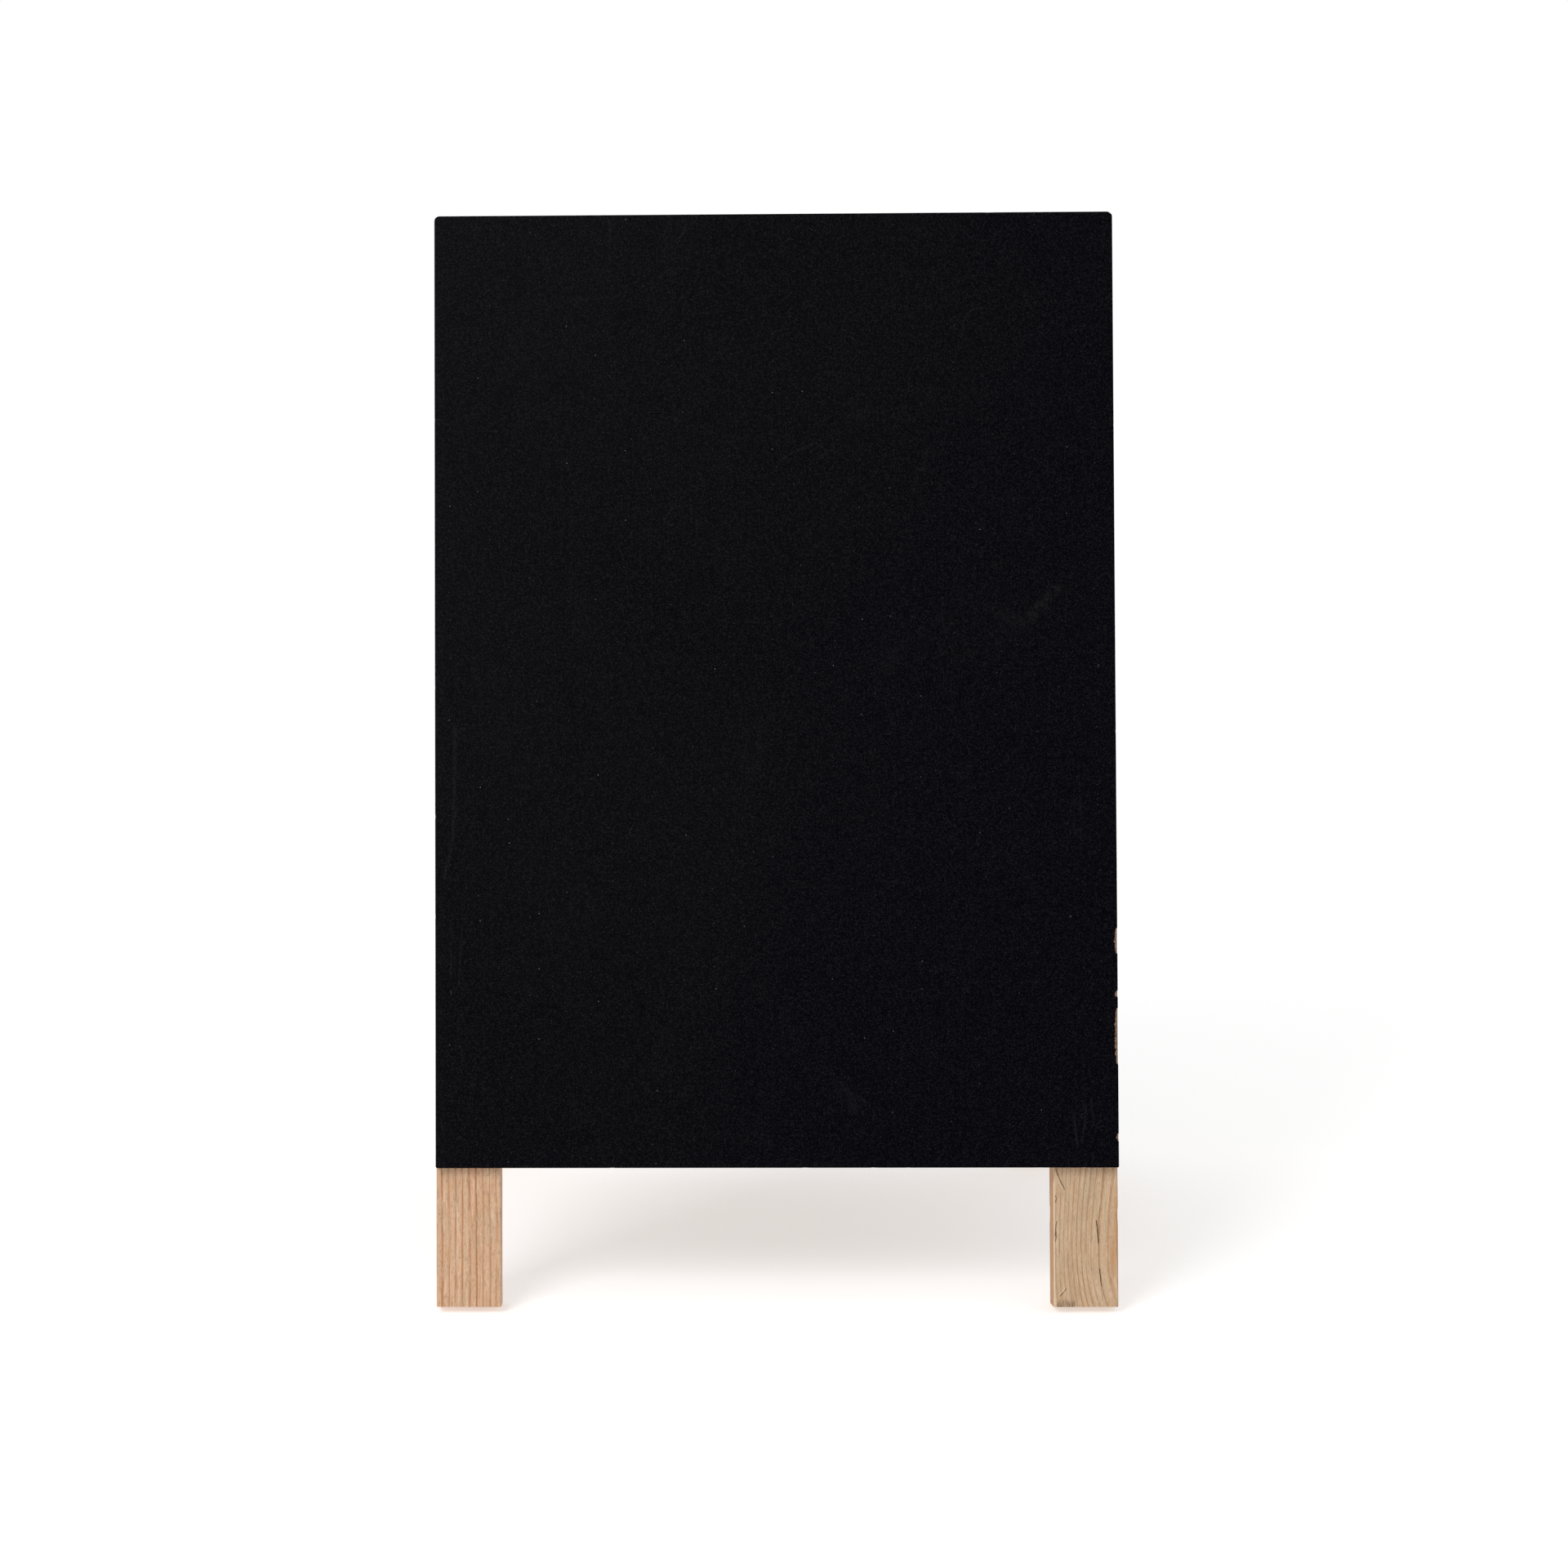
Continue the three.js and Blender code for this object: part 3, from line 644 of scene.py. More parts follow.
ARRIS = 0.45
ARRIS_EDGE = 0.15  # from an arris to the next point on the flat beside it
ARRIS_STEPS = 3
SIDE_STEP = 1.1
LENGTH_STEP = 2.2
CAP_SHARES = (0.82, 0.6, 0.35, 0.12)
LEAST_RADIUS = 0.05
END_EASE = 0.2
QUARTER = math.pi / 2
CORNERS = ((1, 1), (-1, 1), (-1, -1), (1, -1))


def heading(quarters):
    """A unit vector turned that many quarter turns from the first axis."""
    return Vector((math.cos(quarters * QUARTER), math.sin(quarters * QUARTER)))


def corner_run(index, half_u, half_v, inset):
    """The points of a section's rounded corner and one on the flat at each side of it, anticlockwise."""
    sign_u, sign_v = CORNERS[index]
    radius = max(ARRIS - inset, LEAST_RADIUS)
    centre = Vector((sign_u * (half_u - inset - radius), sign_v * (half_v - inset - radius)))
    run = [centre + radius * heading(index + k / ARRIS_STEPS) for k in range(ARRIS_STEPS + 1)]
    return [run[0] + ARRIS_EDGE * heading(index - 1), *run, run[-1] + ARRIS_EDGE * heading(index + 2)]


def section(half_u, half_v, inset):
    """Points round a batten's section, inset all round."""
    runs = [corner_run(index, half_u, half_v, inset) for index in range(4)]
    points = []
    for index, run in enumerate(runs):
        ahead = runs[(index + 1) % 4][0]
        steps = round(2 * (half_v if index % 2 else half_u) / SIDE_STEP)
        points.extend(run)
        points.extend(run[-1].lerp(ahead, k / steps) for k in range(1, steps))
    return points


def stations(length):
    """(place, inset) along a batten, from 0 to its length, with both ends eased."""
    angles = [k / ARRIS_STEPS * QUARTER for k in range(ARRIS_STEPS + 1)]
    ease = [(END_EASE * (1 - math.cos(angle)), END_EASE * (1 - math.sin(angle))) for angle in angles]
    straight = length - 2 * END_EASE
    count = round(straight / LENGTH_STEP)
    middle = [(END_EASE + straight * k / count, 0.0) for k in range(1, count)]
    return ease + middle + [(length - place, inset) for place, inset in reversed(ease)]


PLANING_WAVE = 0.05
PLANING_WAVES = (0.08, 0.03)  # to a millimetre, across and along
NEAR_ARRIS = 0.85  # from which share of the way to a corner a point counts as on its arris
DENT_FROM = 0.28
DENT_DEPTH = 0.9
DENT_WAVES = 0.16  # to a millimetre along
ARRIS_APART = 5  # between one arris and the next, in the dents' noise


def worn(point, half_u, half_v, along, seed):
    """point drawn in towards the batten's middle line: slight planing waves, and dents along the arrises."""
    u, v = point
    waves_across, waves_along = PLANING_WAVES
    wave = noise.noise(Vector((u * waves_across + seed, v * waves_across, along * waves_along)))
    pull = PLANING_WAVE * (1 + wave)
    if abs(u) / half_u * abs(v) / half_v > NEAR_ARRIS:
        arris_u, arris_v = round(u / half_u) * ARRIS_APART, round(v / half_v) * ARRIS_APART
        dent = noise.noise(Vector((arris_u + seed, arris_v, along * DENT_WAVES)))
        pull += DENT_DEPTH * max(0.0, dent - DENT_FROM)
    return Vector((u, v)) - pull * Vector((u / half_u, v / half_v))


def cross_axes(axis):
    """The two axes across a batten that runs along axis 0 or 2."""
    return (0, 1) if axis == 2 else (1, 2)


def batten(low, high, axis, seed):
    """A batten that fills the box from low to high, along axis 0 or 2."""
    u_axis, v_axis = cross_axes(axis)
    centre = (low + high) / 2
    half = (high - low) / 2
    rings = []
    for place, inset in stations(2 * half[axis]):
        ring = []
        for point in section(half[u_axis], half[v_axis], inset):
            spot = low.copy()
            across = worn(point, half[u_axis], half[v_axis], place, seed)
            spot[u_axis] = centre[u_axis] + across.x
            spot[v_axis] = centre[v_axis] + across.y
            spot[axis] += place
            ring.append(spot)
        rings.append(ring)
    return to_mesh(skin(capped(rings)))


def capped(rings, shares=CAP_SHARES):
    """rings with shrinking copies of the first and last one, which fill the ends."""

    def shrunk(ring):
        middle = sum(ring, Vector()) / len(ring)
        return [[middle.lerp(point, share) for point in ring] for share in shares]

    return list(reversed(shrunk(rings[0]))) + rings + shrunk(rings[-1])


SLIVER_OVERLAP = 0.15  # of its length, at each end, so that a row of them cuts one split
SLIVER_SUNK = 0.06  # how far its widest line lies below the flat face, since planing takes the face down


def sliver(start, end, half_width, depth, face_y):
    """A long thin bipyramid across a face at face_y, from start to end, both (x, z). It cuts a split."""
    first = Vector((start[0], face_y, start[1]))
    last = Vector((end[0], face_y, end[1]))
    first, last = first.lerp(last, -SLIVER_OVERLAP), last.lerp(first, -SLIVER_OVERLAP)
    middle = (first + last) / 2
    way = (last - first).normalized()
    aside = Vector((way.z, 0.0, -way.x)) * half_width
    inward = Vector((0.0, depth, 0.0))
    bm = bmesh.new()
    tips = [bm.verts.new(first), bm.verts.new(last)]
    waist = [bm.verts.new(middle + step) for step in (aside, inward, -aside, -inward)]
    for i in range(4):
        for tip in tips:
            bm.faces.new((tip, waist[i], waist[(i + 1) % 4]))
    bmesh.ops.recalc_face_normals(bm, faces=bm.faces)
    return to_mesh(bm)


# Where each piece was cut from the tree: the pith's place across the section from its middle.
PITH = {
    "front_left_leg": (-64.0, 14.0),
    "front_right_leg": (15.0, 34.0),
    "rear_left_leg": (48.0, 26.0),
    "rear_right_leg": (-30.0, 40.0),
}
OTHER_PITH = (30.0, 34.0)
GRAIN_WANDER = 0.8  # how far from straight the other battens' grain wanders
WANDER_WAVES = 0.012  # to a millimetre
SEED_RINGS = 7.0  # how far from the pith, and along the tree, one seed's wood is from the next one's
SEED_ALONG = 31.0
BOW_LEAST_AT = 17.5  # above the foot
BOW_SCALE = 20.0
BOW_REACH = 1.3  # times the scale, beyond which the grain swings no further
BOW_INNER_SIDE = 0.45
BOW_OUTWARDS = 0.075  # added for each millimetre from the leg's inner side
BOW_SQUARE = 1.69
BOW_CUBE = 0.64


def grain_bow(across, height):
    """How far the front right leg's grain swings towards its outer side, bending round a knot below its foot.
    across is from the leg's middle outwards, and height is above the place where the grain swings least."""
    turn = max(-BOW_REACH, min(BOW_REACH, height / BOW_SCALE))
    size = BOW_INNER_SIDE + BOW_OUTWARDS * (across + LEG_HALF_WIDTH)
    return size * (BOW_SQUARE * turn**2 - BOW_CUBE * turn**3)


def grain_of(name, centre, axis, seed):
    """A function from a point to the way from the pith, round it and along it, all in millimetres."""
    u_axis, v_axis = cross_axes(axis)
    pith_u, pith_v = PITH.get(name, OTHER_PITH)

    def grain(point):
        u = point[u_axis] - centre[u_axis]
        v = point[v_axis] - centre[v_axis]
        along = point[axis]
        if name == "front_right_leg":
            u -= grain_bow(u, along - (LEG_FACE_LOW + BOW_LEAST_AT))
        else:
            u += GRAIN_WANDER * noise.noise(Vector((seed, along * WANDER_WAVES, 0.0)))
        way = Vector((u - pith_u, v - pith_v))
        round_pith = way.length * math.atan2(way.y, way.x)
        return (way.length + SEED_RINGS * seed, round_pith, along + SEED_ALONG * seed)

    return grain


TORN_END = {"from": 13.8, "to": 19.2, "height": 3.0}  # across the front right foot from its outer side, up
TORN_STAIN = 0.75
SPLIT_REACH = 0.3  # how far beside a split the wood may be stained, below the face
SPLIT_STAIN_UNDER = 0.1
FACE_SKIN = 1.4  # how deep the face's stains go


def far_from_line(point, start, end):
    """How far a point lies from the line from start to end, both (x, z), seen square to the leg's face."""
    first, last = Vector(start), Vector(end)
    spot = Vector((point.x, point.z))
    way = last - first
    share = max(0.0, min(1.0, (spot - first).dot(way) / way.length_squared))
    return (spot - first - way * share).length


def leg_stain(point, low):
    """How dark the front right leg is: inside its splits, and at the torn corner of its foot."""
    depth = point.y - low.y
    if depth > FACE_SKIN:
        return 0.0
    inwards = PANEL_HIGH_X - point.x
    if TORN_END["from"] < inwards < TORN_END["to"]:
        torn = TORN_STAIN - (point.z - low.z) / TORN_END["height"]
    else:
        torn = 0.0
    beside_split = any(far_from_line(point, start, end) < SPLIT_REACH for start, end, _ in SPLITS)
    if beside_split and depth > SPLIT_STAIN_UNDER:
        return 1.0
    return max(0.0, torn)


WARM_SIDE = 0.50
# a painted highlight along the front right leg's inner front arris
ARRIS_PAINTED_HIGHLIGHT = -0.9
OUTER_WARMTH = 0.25
OUTER_WIDTH = 0.9
TINT_DEPTH = 1.2
WARM_STREAKS = (  # inwards from the outer side, down from the panel, half length, width and share
    (0.0, 14.0, 7.0, 1.1, 0.8),
    (1.6, 27.0, 8.0, 1.0, 0.6),
)


def leg_tint(point, low, high):
    """The front right leg's inner side is tinted a warmer, deeper brown, and the arris beside it is painted pale
    as a painted highlight. Warm streaks run down its face beside its outer side."""
    from_inner_side = point.x - low.x
    depth = point.y - low.y
    # painted highlight: the front arris beside the inner side is painted pale
    if from_inner_side < ARRIS + ARRIS_EDGE / 2 and depth < ARRIS / 2:
        return ARRIS_PAINTED_HIGHLIGHT
    if from_inner_side < ARRIS / 2:
        return WARM_SIDE
    warmest = 0.0
    for aside, middle, half_length, width, share in WARM_STREAKS:
        across = high.x - point.x - aside
        along = PANEL_LOW - point.z - middle
        warmest = max(warmest, share * warm_streak(across, along, half_length, width))
    return near_face(depth) * warmest


def warm_streak(across, along, half_length, width):
    """A streak of warmer wood along a leg's face, by the distance from its middle."""
    return math.exp(-((along / half_length) ** 2) - (across / width) ** 2)


def near_face(depth):
    return max(0.0, 1.0 - depth / TINT_DEPTH)


def outer_tint(point, low, high, side):
    """The front arris on a leg's outer side is a little warmer than its face."""
    inwards = high.x - point.x if side == "right" else point.x - low.x
    return OUTER_WARMTH * max(0.0, 1.0 - inwards / OUTER_WIDTH) * near_face(point.y - low.y)


def wood_attributes(mesh, name, low, high, axis, seed):
    """The attributes that the pine reads."""
    grain = grain_of(name, (low + high) / 2, axis, seed)
    points = [vertex.co for vertex in mesh.vertices]
    set_points(mesh, "grain", "FLOAT_VECTOR", [grain(point) for point in points])
    set_points(mesh, "own", "FLOAT_VECTOR", points)
    marked = name == "front_right_leg"
    set_points(mesh, "stain", "FLOAT", [leg_stain(point, low) if marked else 0.0 for point in points])
    if marked:
        tints = [leg_tint(point, low, high) for point in points]
    elif "leg" in name:
        tints = [outer_tint(point, low, high, "right" if "right" in name else "left") for point in points]
    else:
        tints = [0.0] * len(points)
    set_points(mesh, "tint", "FLOAT", tints)


# ---- round pieces ----

ROUND = 40
TIP = 0.02  # the radius at a turned piece's two ends, in place of none
ROUND_ANGLES = [2 * math.pi * k / ROUND for k in range(ROUND)]


def turned(profile):
    """A mesh turned about +Y from (radius, height) points, open ends closed on the axis. It points up +Y."""
    rings = []
    for radius, height in profile:
        rings.append([Vector((radius * math.cos(a), height, radius * math.sin(a))) for a in ROUND_ANGLES])
    return to_mesh(skin(rings))


def turned_ring(profile):
    """As turned, but from a closed profile, for a washer."""
    bm = bmesh.new()
    loops = []
    for a in ROUND_ANGLES:
        places = [(radius * math.cos(a), height, radius * math.sin(a)) for radius, height in profile]
        loops.append([bm.verts.new(place) for place in places])
    size = len(profile)
    for i in range(ROUND):
        for j in range(size):
            near, far = loops[i], loops[(i + 1) % ROUND]
            bm.faces.new((near[j], near[(j + 1) % size], far[(j + 1) % size], far[j]))
    bmesh.ops.recalc_face_normals(bm, faces=bm.faces)
    return to_mesh(bm)


def pointing(direction, place):
    """Moves a mesh made along +Y so that it points in that direction, with its origin at place."""
    turn = Vector((0, 1, 0)).rotation_difference(Vector(direction))
    return Matrix.Translation(place) @ turn.to_matrix().to_4x4()


def in_row(place, direction):
    """From millimetres, made along +Y, to the row frame in metres, pointing that way from place."""
    return Matrix.Translation(place) @ Matrix.Scale(MM, 4) @ pointing(direction, (0, 0, 0))


def block(low, high):
    bm = bmesh.new()
    bmesh.ops.create_cube(bm, size=1.0)
    for vertex in bm.verts:
        for i in range(3):
            vertex.co[i] = low[i] + (vertex.co[i] + 0.5) * (high[i] - low[i])
    return to_mesh(bm)


WINGS = ((1, 0.66, 0.15), (0, 0.60, 0.13), (-1, 0.30, 0.07))  # depths above the top, half length, half width


def cross_recess(radius, depth, top):
    """Two tapered wings and their crossing, to cut from a screw's head whose top is at that height."""
    meshes = []
    for turn in (0.0, QUARTER):
        rings = []
        for level, reach, half in WINGS:
            wide, thin = reach * radius, half * radius
            corners = [(sign_x * wide, top + level * depth, sign_z * thin) for sign_x, sign_z in CORNERS]
            rings.append([Matrix.Rotation(turn, 3, "Y") @ Vector(corner) for corner in corners])
        meshes.append(to_mesh(skin(rings)))
    return meshes


THREAD_ROOT = 0.78  # of the shank's radius
THREAD_PITCH = 0.9  # of the shank's radius


def point_and_thread(shank, length, end):
    """(radius, height) points of a screw from its point up, with rolled thread to a height just below end."""
    root = THREAD_ROOT * shank
    pitch = THREAD_PITCH * shank
    height = -length + 2 * shank
    points = [(TIP, -length), (root, height)]
    height += 0.2
    while height + pitch < end:
        points += [(root, height), (shank, height + 0.45 * pitch), (root, height + 0.9 * pitch)]
        height += pitch
    return points


def wood_screw(head, shank, length):
    """A countersunk cross-head screw with the top of its head at the origin and its head towards +Y."""
    rim = 0.12 * head
    cone = head - shank
    profile = point_and_thread(shank, length, -1.6 * head)
    profile += [(0.8 * shank, -1.5 * head), (shank, -cone - 0.3), (shank, -cone)]
    profile += [(head, -rim), (head, -0.3 * rim), (head - 0.3 * rim, 0.0), (TIP, 0.0)]
    return combined(turned(profile), cross_recess(head, 0.3 * head, 0.0), "DIFFERENCE")


def pan_screw(head, height, shank, length):
    """A round-head screw with the underside of its head at the origin and its head towards +Y."""
    rim = 0.12
    profile = point_and_thread(shank, length, -0.45 * length)
    profile += [(shank, -0.42 * length), (shank, 0.0), (0.97 * head, 0.0), (head, rim * height)]
    for k in range(1, 8):
        angle = k / 8 * QUARTER
        profile.append((head * math.cos(angle), height * (rim + (1 - rim) * math.sin(angle))))
    profile.append((TIP, height))
    return combined(turned(profile), cross_recess(head, 0.5 * height, height), "DIFFERENCE")


def hole(radius, low, high):
    return turned([(radius, low), (radius, high)])


SCREW_ROOM = 0.12  # round a screw in its hole


def countersink(head, shank, length):
    """What to cut for a wood screw: its shank's hole, the cone under its head and a way in above."""
    bore = shank + SCREW_ROOM
    mouth = head + SCREW_ROOM
    return turned([(bore, -length), (bore, shank - head), (mouth, 0.0), (mouth, 1.0)])


# ---- the panels ----

PANEL_STEP = 1.0
FINE_STEP = 0.22
PAINT_ARRIS = 0.3
TOP_CORNER_RADIUS = 1.6
LOW_CORNER_RADIUS = 0.5
CORNER_STEPS = 8
FACE_SHARES = (0.9, 0.7, 0.4, 0.12)  # the rings that fill the painted face and the back
PAINT_LIP = 0.15  # how far the face's edge goes in with its chips before it turns flat
BORDER = 2.0  # how far in the straight line behind the chips is
BORDER_TURN = 15.0  # how far from a corner that line starts to give way to the next edge's
CHIPS = ((65.5, 73.5, 0.85), (52.3, 54.3, 0.8), (31.5, 49.0, 1.0), (8.0, 10.5, 0.45))  # up the right edge
CHIP_SIDE = 0.4  # how far round the arris, of the panel's thickness, a chip goes
EDGE_STEPS = 6


def panel_outline(low, high):
    """(point, outward direction) round the panel's face, from above its lower right corner upwards. The right
    edge, which is chipped, comes in finer steps."""
    path = []
    spots = (
        (high.x, high.z, TOP_CORNER_RADIUS, FINE_STEP),
        (low.x, high.z, TOP_CORNER_RADIUS, PANEL_STEP),
        (low.x, low.z, LOW_CORNER_RADIUS, PANEL_STEP),
        (high.x, low.z, LOW_CORNER_RADIUS, PANEL_STEP),
    )
    before = Vector((high.x, low.z + LOW_CORNER_RADIUS))
    for index, (x, z, radius, step) in enumerate(spots):
        sign_x, sign_z = CORNERS[index]
        centre = Vector((x - sign_x * radius, z - sign_z * radius))
        start = centre + radius * heading(index)
        count = round((start - before).length / step)
        path.extend((before.lerp(start, k / count), heading(index)) for k in range(count))
        for k in range(CORNER_STEPS):
            outward = heading(index + k / CORNER_STEPS)
            path.append((centre + radius * outward, outward))
        before = centre + radius * heading(index + 1)
    return path


SMALL_CHIP_WAVES = 0.35  # to a millimetre
SMALL_CHIP_LEVEL = 0.52  # noise below this leaves the arris whole
SMALL_CHIP_DEPTH = 0.6  # for each unit of noise above that
CHIP_MEAN = 0.62  # a long chip's mean depth, of its most
CHIP_LEAST = 0.05
CHIP_WAVES = ((0.9, 0.45), (1.9, 0.4), (4.1, 0.25), (8.3, 0.22))  # waves to a millimetre, and their height
BARE_PER_DEPTH = 5.0
BARE_LOST_BEHIND = 1.1  # for each millimetre behind the painted face


def chip_depth(point, outward, low):
    """How far the painted arris is broken away at a point on the front panel's edge."""
    up = point.y - low.z
    small = noise.noise(Vector((point.x * SMALL_CHIP_WAVES, point.y * SMALL_CHIP_WAVES, 3.0)))
    depth = max(0.0, small - SMALL_CHIP_LEVEL) * SMALL_CHIP_DEPTH
    if outward.x < 0.9:
        return depth
    jagged = CHIP_MEAN
    jagged += sum(height * noise.noise(Vector((0.0, up * often, 7.0))) for often, height in CHIP_WAVES)
    for start, end, most in CHIPS:
        if start < up < end:
            window = math.sin(math.pi * (up - start) / (end - start)) ** 0.5
            depth = max(depth, most * window * max(CHIP_LEAST, jagged))
    return depth


def bareness(depth, behind):
    """How bare the edge is that far behind the painted face: a deeper chip reaches further round."""
    return max(0.0, min(1.0, BARE_PER_DEPTH * depth - BARE_LOST_BEHIND * behind))


def drawn_in(place, low, high):
    """A place between two edges, moved in by BORDER at either edge and less the further it is from one."""
    from_low = BORDER * max(0.0, 1.0 - (place - low) / BORDER_TURN)
    from_high = BORDER * max(0.0, 1.0 - (high - place) / BORDER_TURN)
    return place + from_low - from_high


def border_ring(outline, low, high, y):
    """A ring on the panel's face or back that runs straight behind the chips."""
    ring = []
    for point, _ in outline:
        ring.append(Vector((drawn_in(point.x, low.x, high.x), y, drawn_in(point.y, low.z, high.z))))
    return ring


def edge_profile(face, back):
    """(inset, y) round the panel's edge, from the painted face to the back, with both arrises eased."""
    soft = PAINT_ARRIS
    near = 0.3 * soft  # about where a round arris crosses its diagonal
    step = (back - face - 2 * soft) / EDGE_STEPS
    front = [(soft + PAINT_LIP, face), (soft, face), (near, face + near)]
    side = [(0.0, face + soft + k * step) for k in range(EDGE_STEPS + 1)]
    return front + side + [(near, back - near), (soft, back), (soft + PAINT_LIP, back)]


def writing_panel(which):
    """A painted panel: its edge is a loft round the outline, with the front arris rounded by the paint."""
    node = f"{which}_panel"
    low, high = own_box(node, which)
    face, back = low.y, high.y
    outline = panel_outline(low, high)
    broken = [chip_depth(point, outward, low) if which == "front" else 0.0 for point, outward in outline]
    rings = []
    edge_chips = []
    for inset, y in edge_profile(face, back):
        share = max(0.0, 1.0 - (y - face) / (CHIP_SIDE * (back - face)))
        ring = []
        for (point, outward), depth in zip(outline, broken):
            inner = point - outward * (inset + depth * share)
            ring.append(Vector((inner.x, y, inner.y)))
            edge_chips.append(bareness(depth, y - face) if inset <= PAINT_ARRIS else 0.0)
        rings.append(ring)
    rings = [border_ring(outline, low, high, face), *rings, border_ring(outline, low, high, back)]
    mesh = to_mesh(skin(capped(rings, FACE_SHARES)))
    inside = [0.0] * ((len(FACE_SHARES) + 1) * len(outline))
    set_points(mesh, "chip", "FLOAT", inside + edge_chips + inside)
    middle = (low + high) / 2
    set_points(mesh, "own", "FLOAT_VECTOR", [vertex.co - middle for vertex in mesh.vertices])
    for polygon in mesh.polygons:
        raw = polygon.normal.y > 0.9 and polygon.center.y > back - PAINT_ARRIS
        polygon.material_index = 1 if raw else 0
    materials = [MATERIALS[f"{which}_face"], MATERIALS["raw"]]
    finished(f"{which}_writing_panel", mesh, AXES[which], f"{which}_frame", "board_paint", [node], materials)


# ---- frames: legs, rails and their screws ----


def screw_size(low, high):
    """(head radius, length) of a rail screw from its own box."""
    return (high.y - low.y) / 2, high.x - low.x


def rail_screw_place(which, rail, side):
    """A rail screw's head top, the way it faces, its head radius and its length, in the frame's own axes."""
    low, high = own_box(f"{which}_{rail}_rail_{side}_screw", which)
    head, length = screw_size(low, high)
    outwards = 1 if (low.x + high.x) > 0 else -1
    middle = (low + high) / 2
    return Vector((high.x if outwards > 0 else low.x, middle.y, middle.z)), (outwards, 0, 0), head, length


def leaf_screw_place(which, side, number):
    """The same for a hinge screw, which faces the gap between the frames."""
    low, high = own_box(f"{side}_hinge_{which}_screw_{number}", which)
    middle = (low + high) / 2
    return Vector((middle.x, high.y, middle.z)), (0, 1, 0), (high.x - low.x) / 2, high.y - low.y


SHANK_SHARE = 0.5  # of a wood screw's head radius
METALS = {"zinc_plate": MATERIALS["zinc"], "hinge_brass": MATERIALS["brass"]}


def metal(name, mesh, matrix, body, slot, node):
    """Hands over a metal piece, which takes the place of one node."""
    finished(name, mesh, matrix, body, slot, [node], [METALS[slot]])


def placed(mesh, matrix):
    mesh.transform(matrix)
    return mesh


def screw_hole(place, direction, head, length):
    return placed(countersink(head, SHANK_SHARE * head, length), pointing(direction, place))


def make_leg(which, side, seed):
    node = f"{which}_{side}_leg"
    low, high = own_box(node, which)
    tools = [screw_hole(*rail_screw_place(which, rail, side)) for rail in RAILS]
    if node == "front_right_leg":
        tools += [sliver(*split, SPLIT_DEPTH, LEG_FACE_Y + SLIVER_SUNK) for split in SPLITS]
    mesh = combined(batten(low, high, 2, seed), tools, "DIFFERENCE")
    wood_attributes(mesh, node, low, high, 2, seed)
    look = MATERIALS[side] if which == "front" else MATERIALS["other"]
    finished(f"{node}_batten", mesh, AXES[which], f"{which}_frame", "pine", [node], [look])


def make_rail(which, rail, seed):
    node = f"{which}_{rail}_rail"
    low, high = own_box(node, which)
    mesh = batten(low, high, 0, seed)
    tools = [screw_hole(*rail_screw_place(which, rail, side)) for side in SIDES]
    if rail == "top":
        tools += [screw_hole(*leaf_screw_place(which, side, number)) for side in SIDES for number in (1, 2)]
    mesh = combined(mesh, tools, "DIFFERENCE")
    wood_attributes(mesh, node, low, high, 0, seed)
    finished(f"{node}_batten", mesh, AXES[which], f"{which}_frame", "pine", [node], [MATERIALS["other"]])


def make_frame_screws(which):
    """The countersunk screws in a frame: into its rails' ends, and through its hinge leaves."""
    body = f"{which}_frame"
    for side in SIDES:
        for rail in RAILS:
            place, direction, head, length = rail_screw_place(which, rail, side)
            mesh = placed(wood_screw(head, SHANK_SHARE * head, length), pointing(direction, place))
            node = f"{which}_{rail}_rail_{side}_screw"
            metal(f"{node}_turned", mesh, AXES[which], body, "zinc_plate", node)
        for number in (1, 2):
            place, direction, head, length = leaf_screw_place(which, side, number)
            mesh = placed(wood_screw(head, SHANK_SHARE * head, length), pointing(direction, place))
            node = f"{side}_hinge_{which}_screw_{number}"
            metal(f"{node}_turned", mesh, AXES[which], body, "hinge_brass", node)


# ---- hinges ----

LEAF_THICKNESS = 0.8
LEAF_CORNER = 1.4  # its radius
KNUCKLES = 5
KNUCKLE_GAP = 0.12  # at either end of each
CURL_STEPS = 26
CURL_END = math.radians(318)  # how far round the pin a knuckle is rolled
CURL_TAIL = 1.2  # how far a knuckle's strip runs down the plate, past the roll
PLATE_TOP = 0.6  # where the plate starts, below the roll


def knuckle(start, end, outer, inner):
    """A rolled strip from the leaf's plate round the pin, along X from start to end."""
    angles = [math.pi + CURL_END * k / CURL_STEPS for k in range(CURL_STEPS + 1)]
    outside = [(outer * math.cos(a), -outer * math.sin(a)) for a in angles]
    inside = [(inner * math.cos(a), -inner * math.sin(a)) for a in angles]
    tail = [(-inner, -outer - CURL_TAIL), (-outer, -outer - CURL_TAIL)]
    ring = outside + list(reversed(inside)) + tail
    return to_mesh(skin([[Vector((x, y, z)) for y, z in ring] for x in (start, end)]))


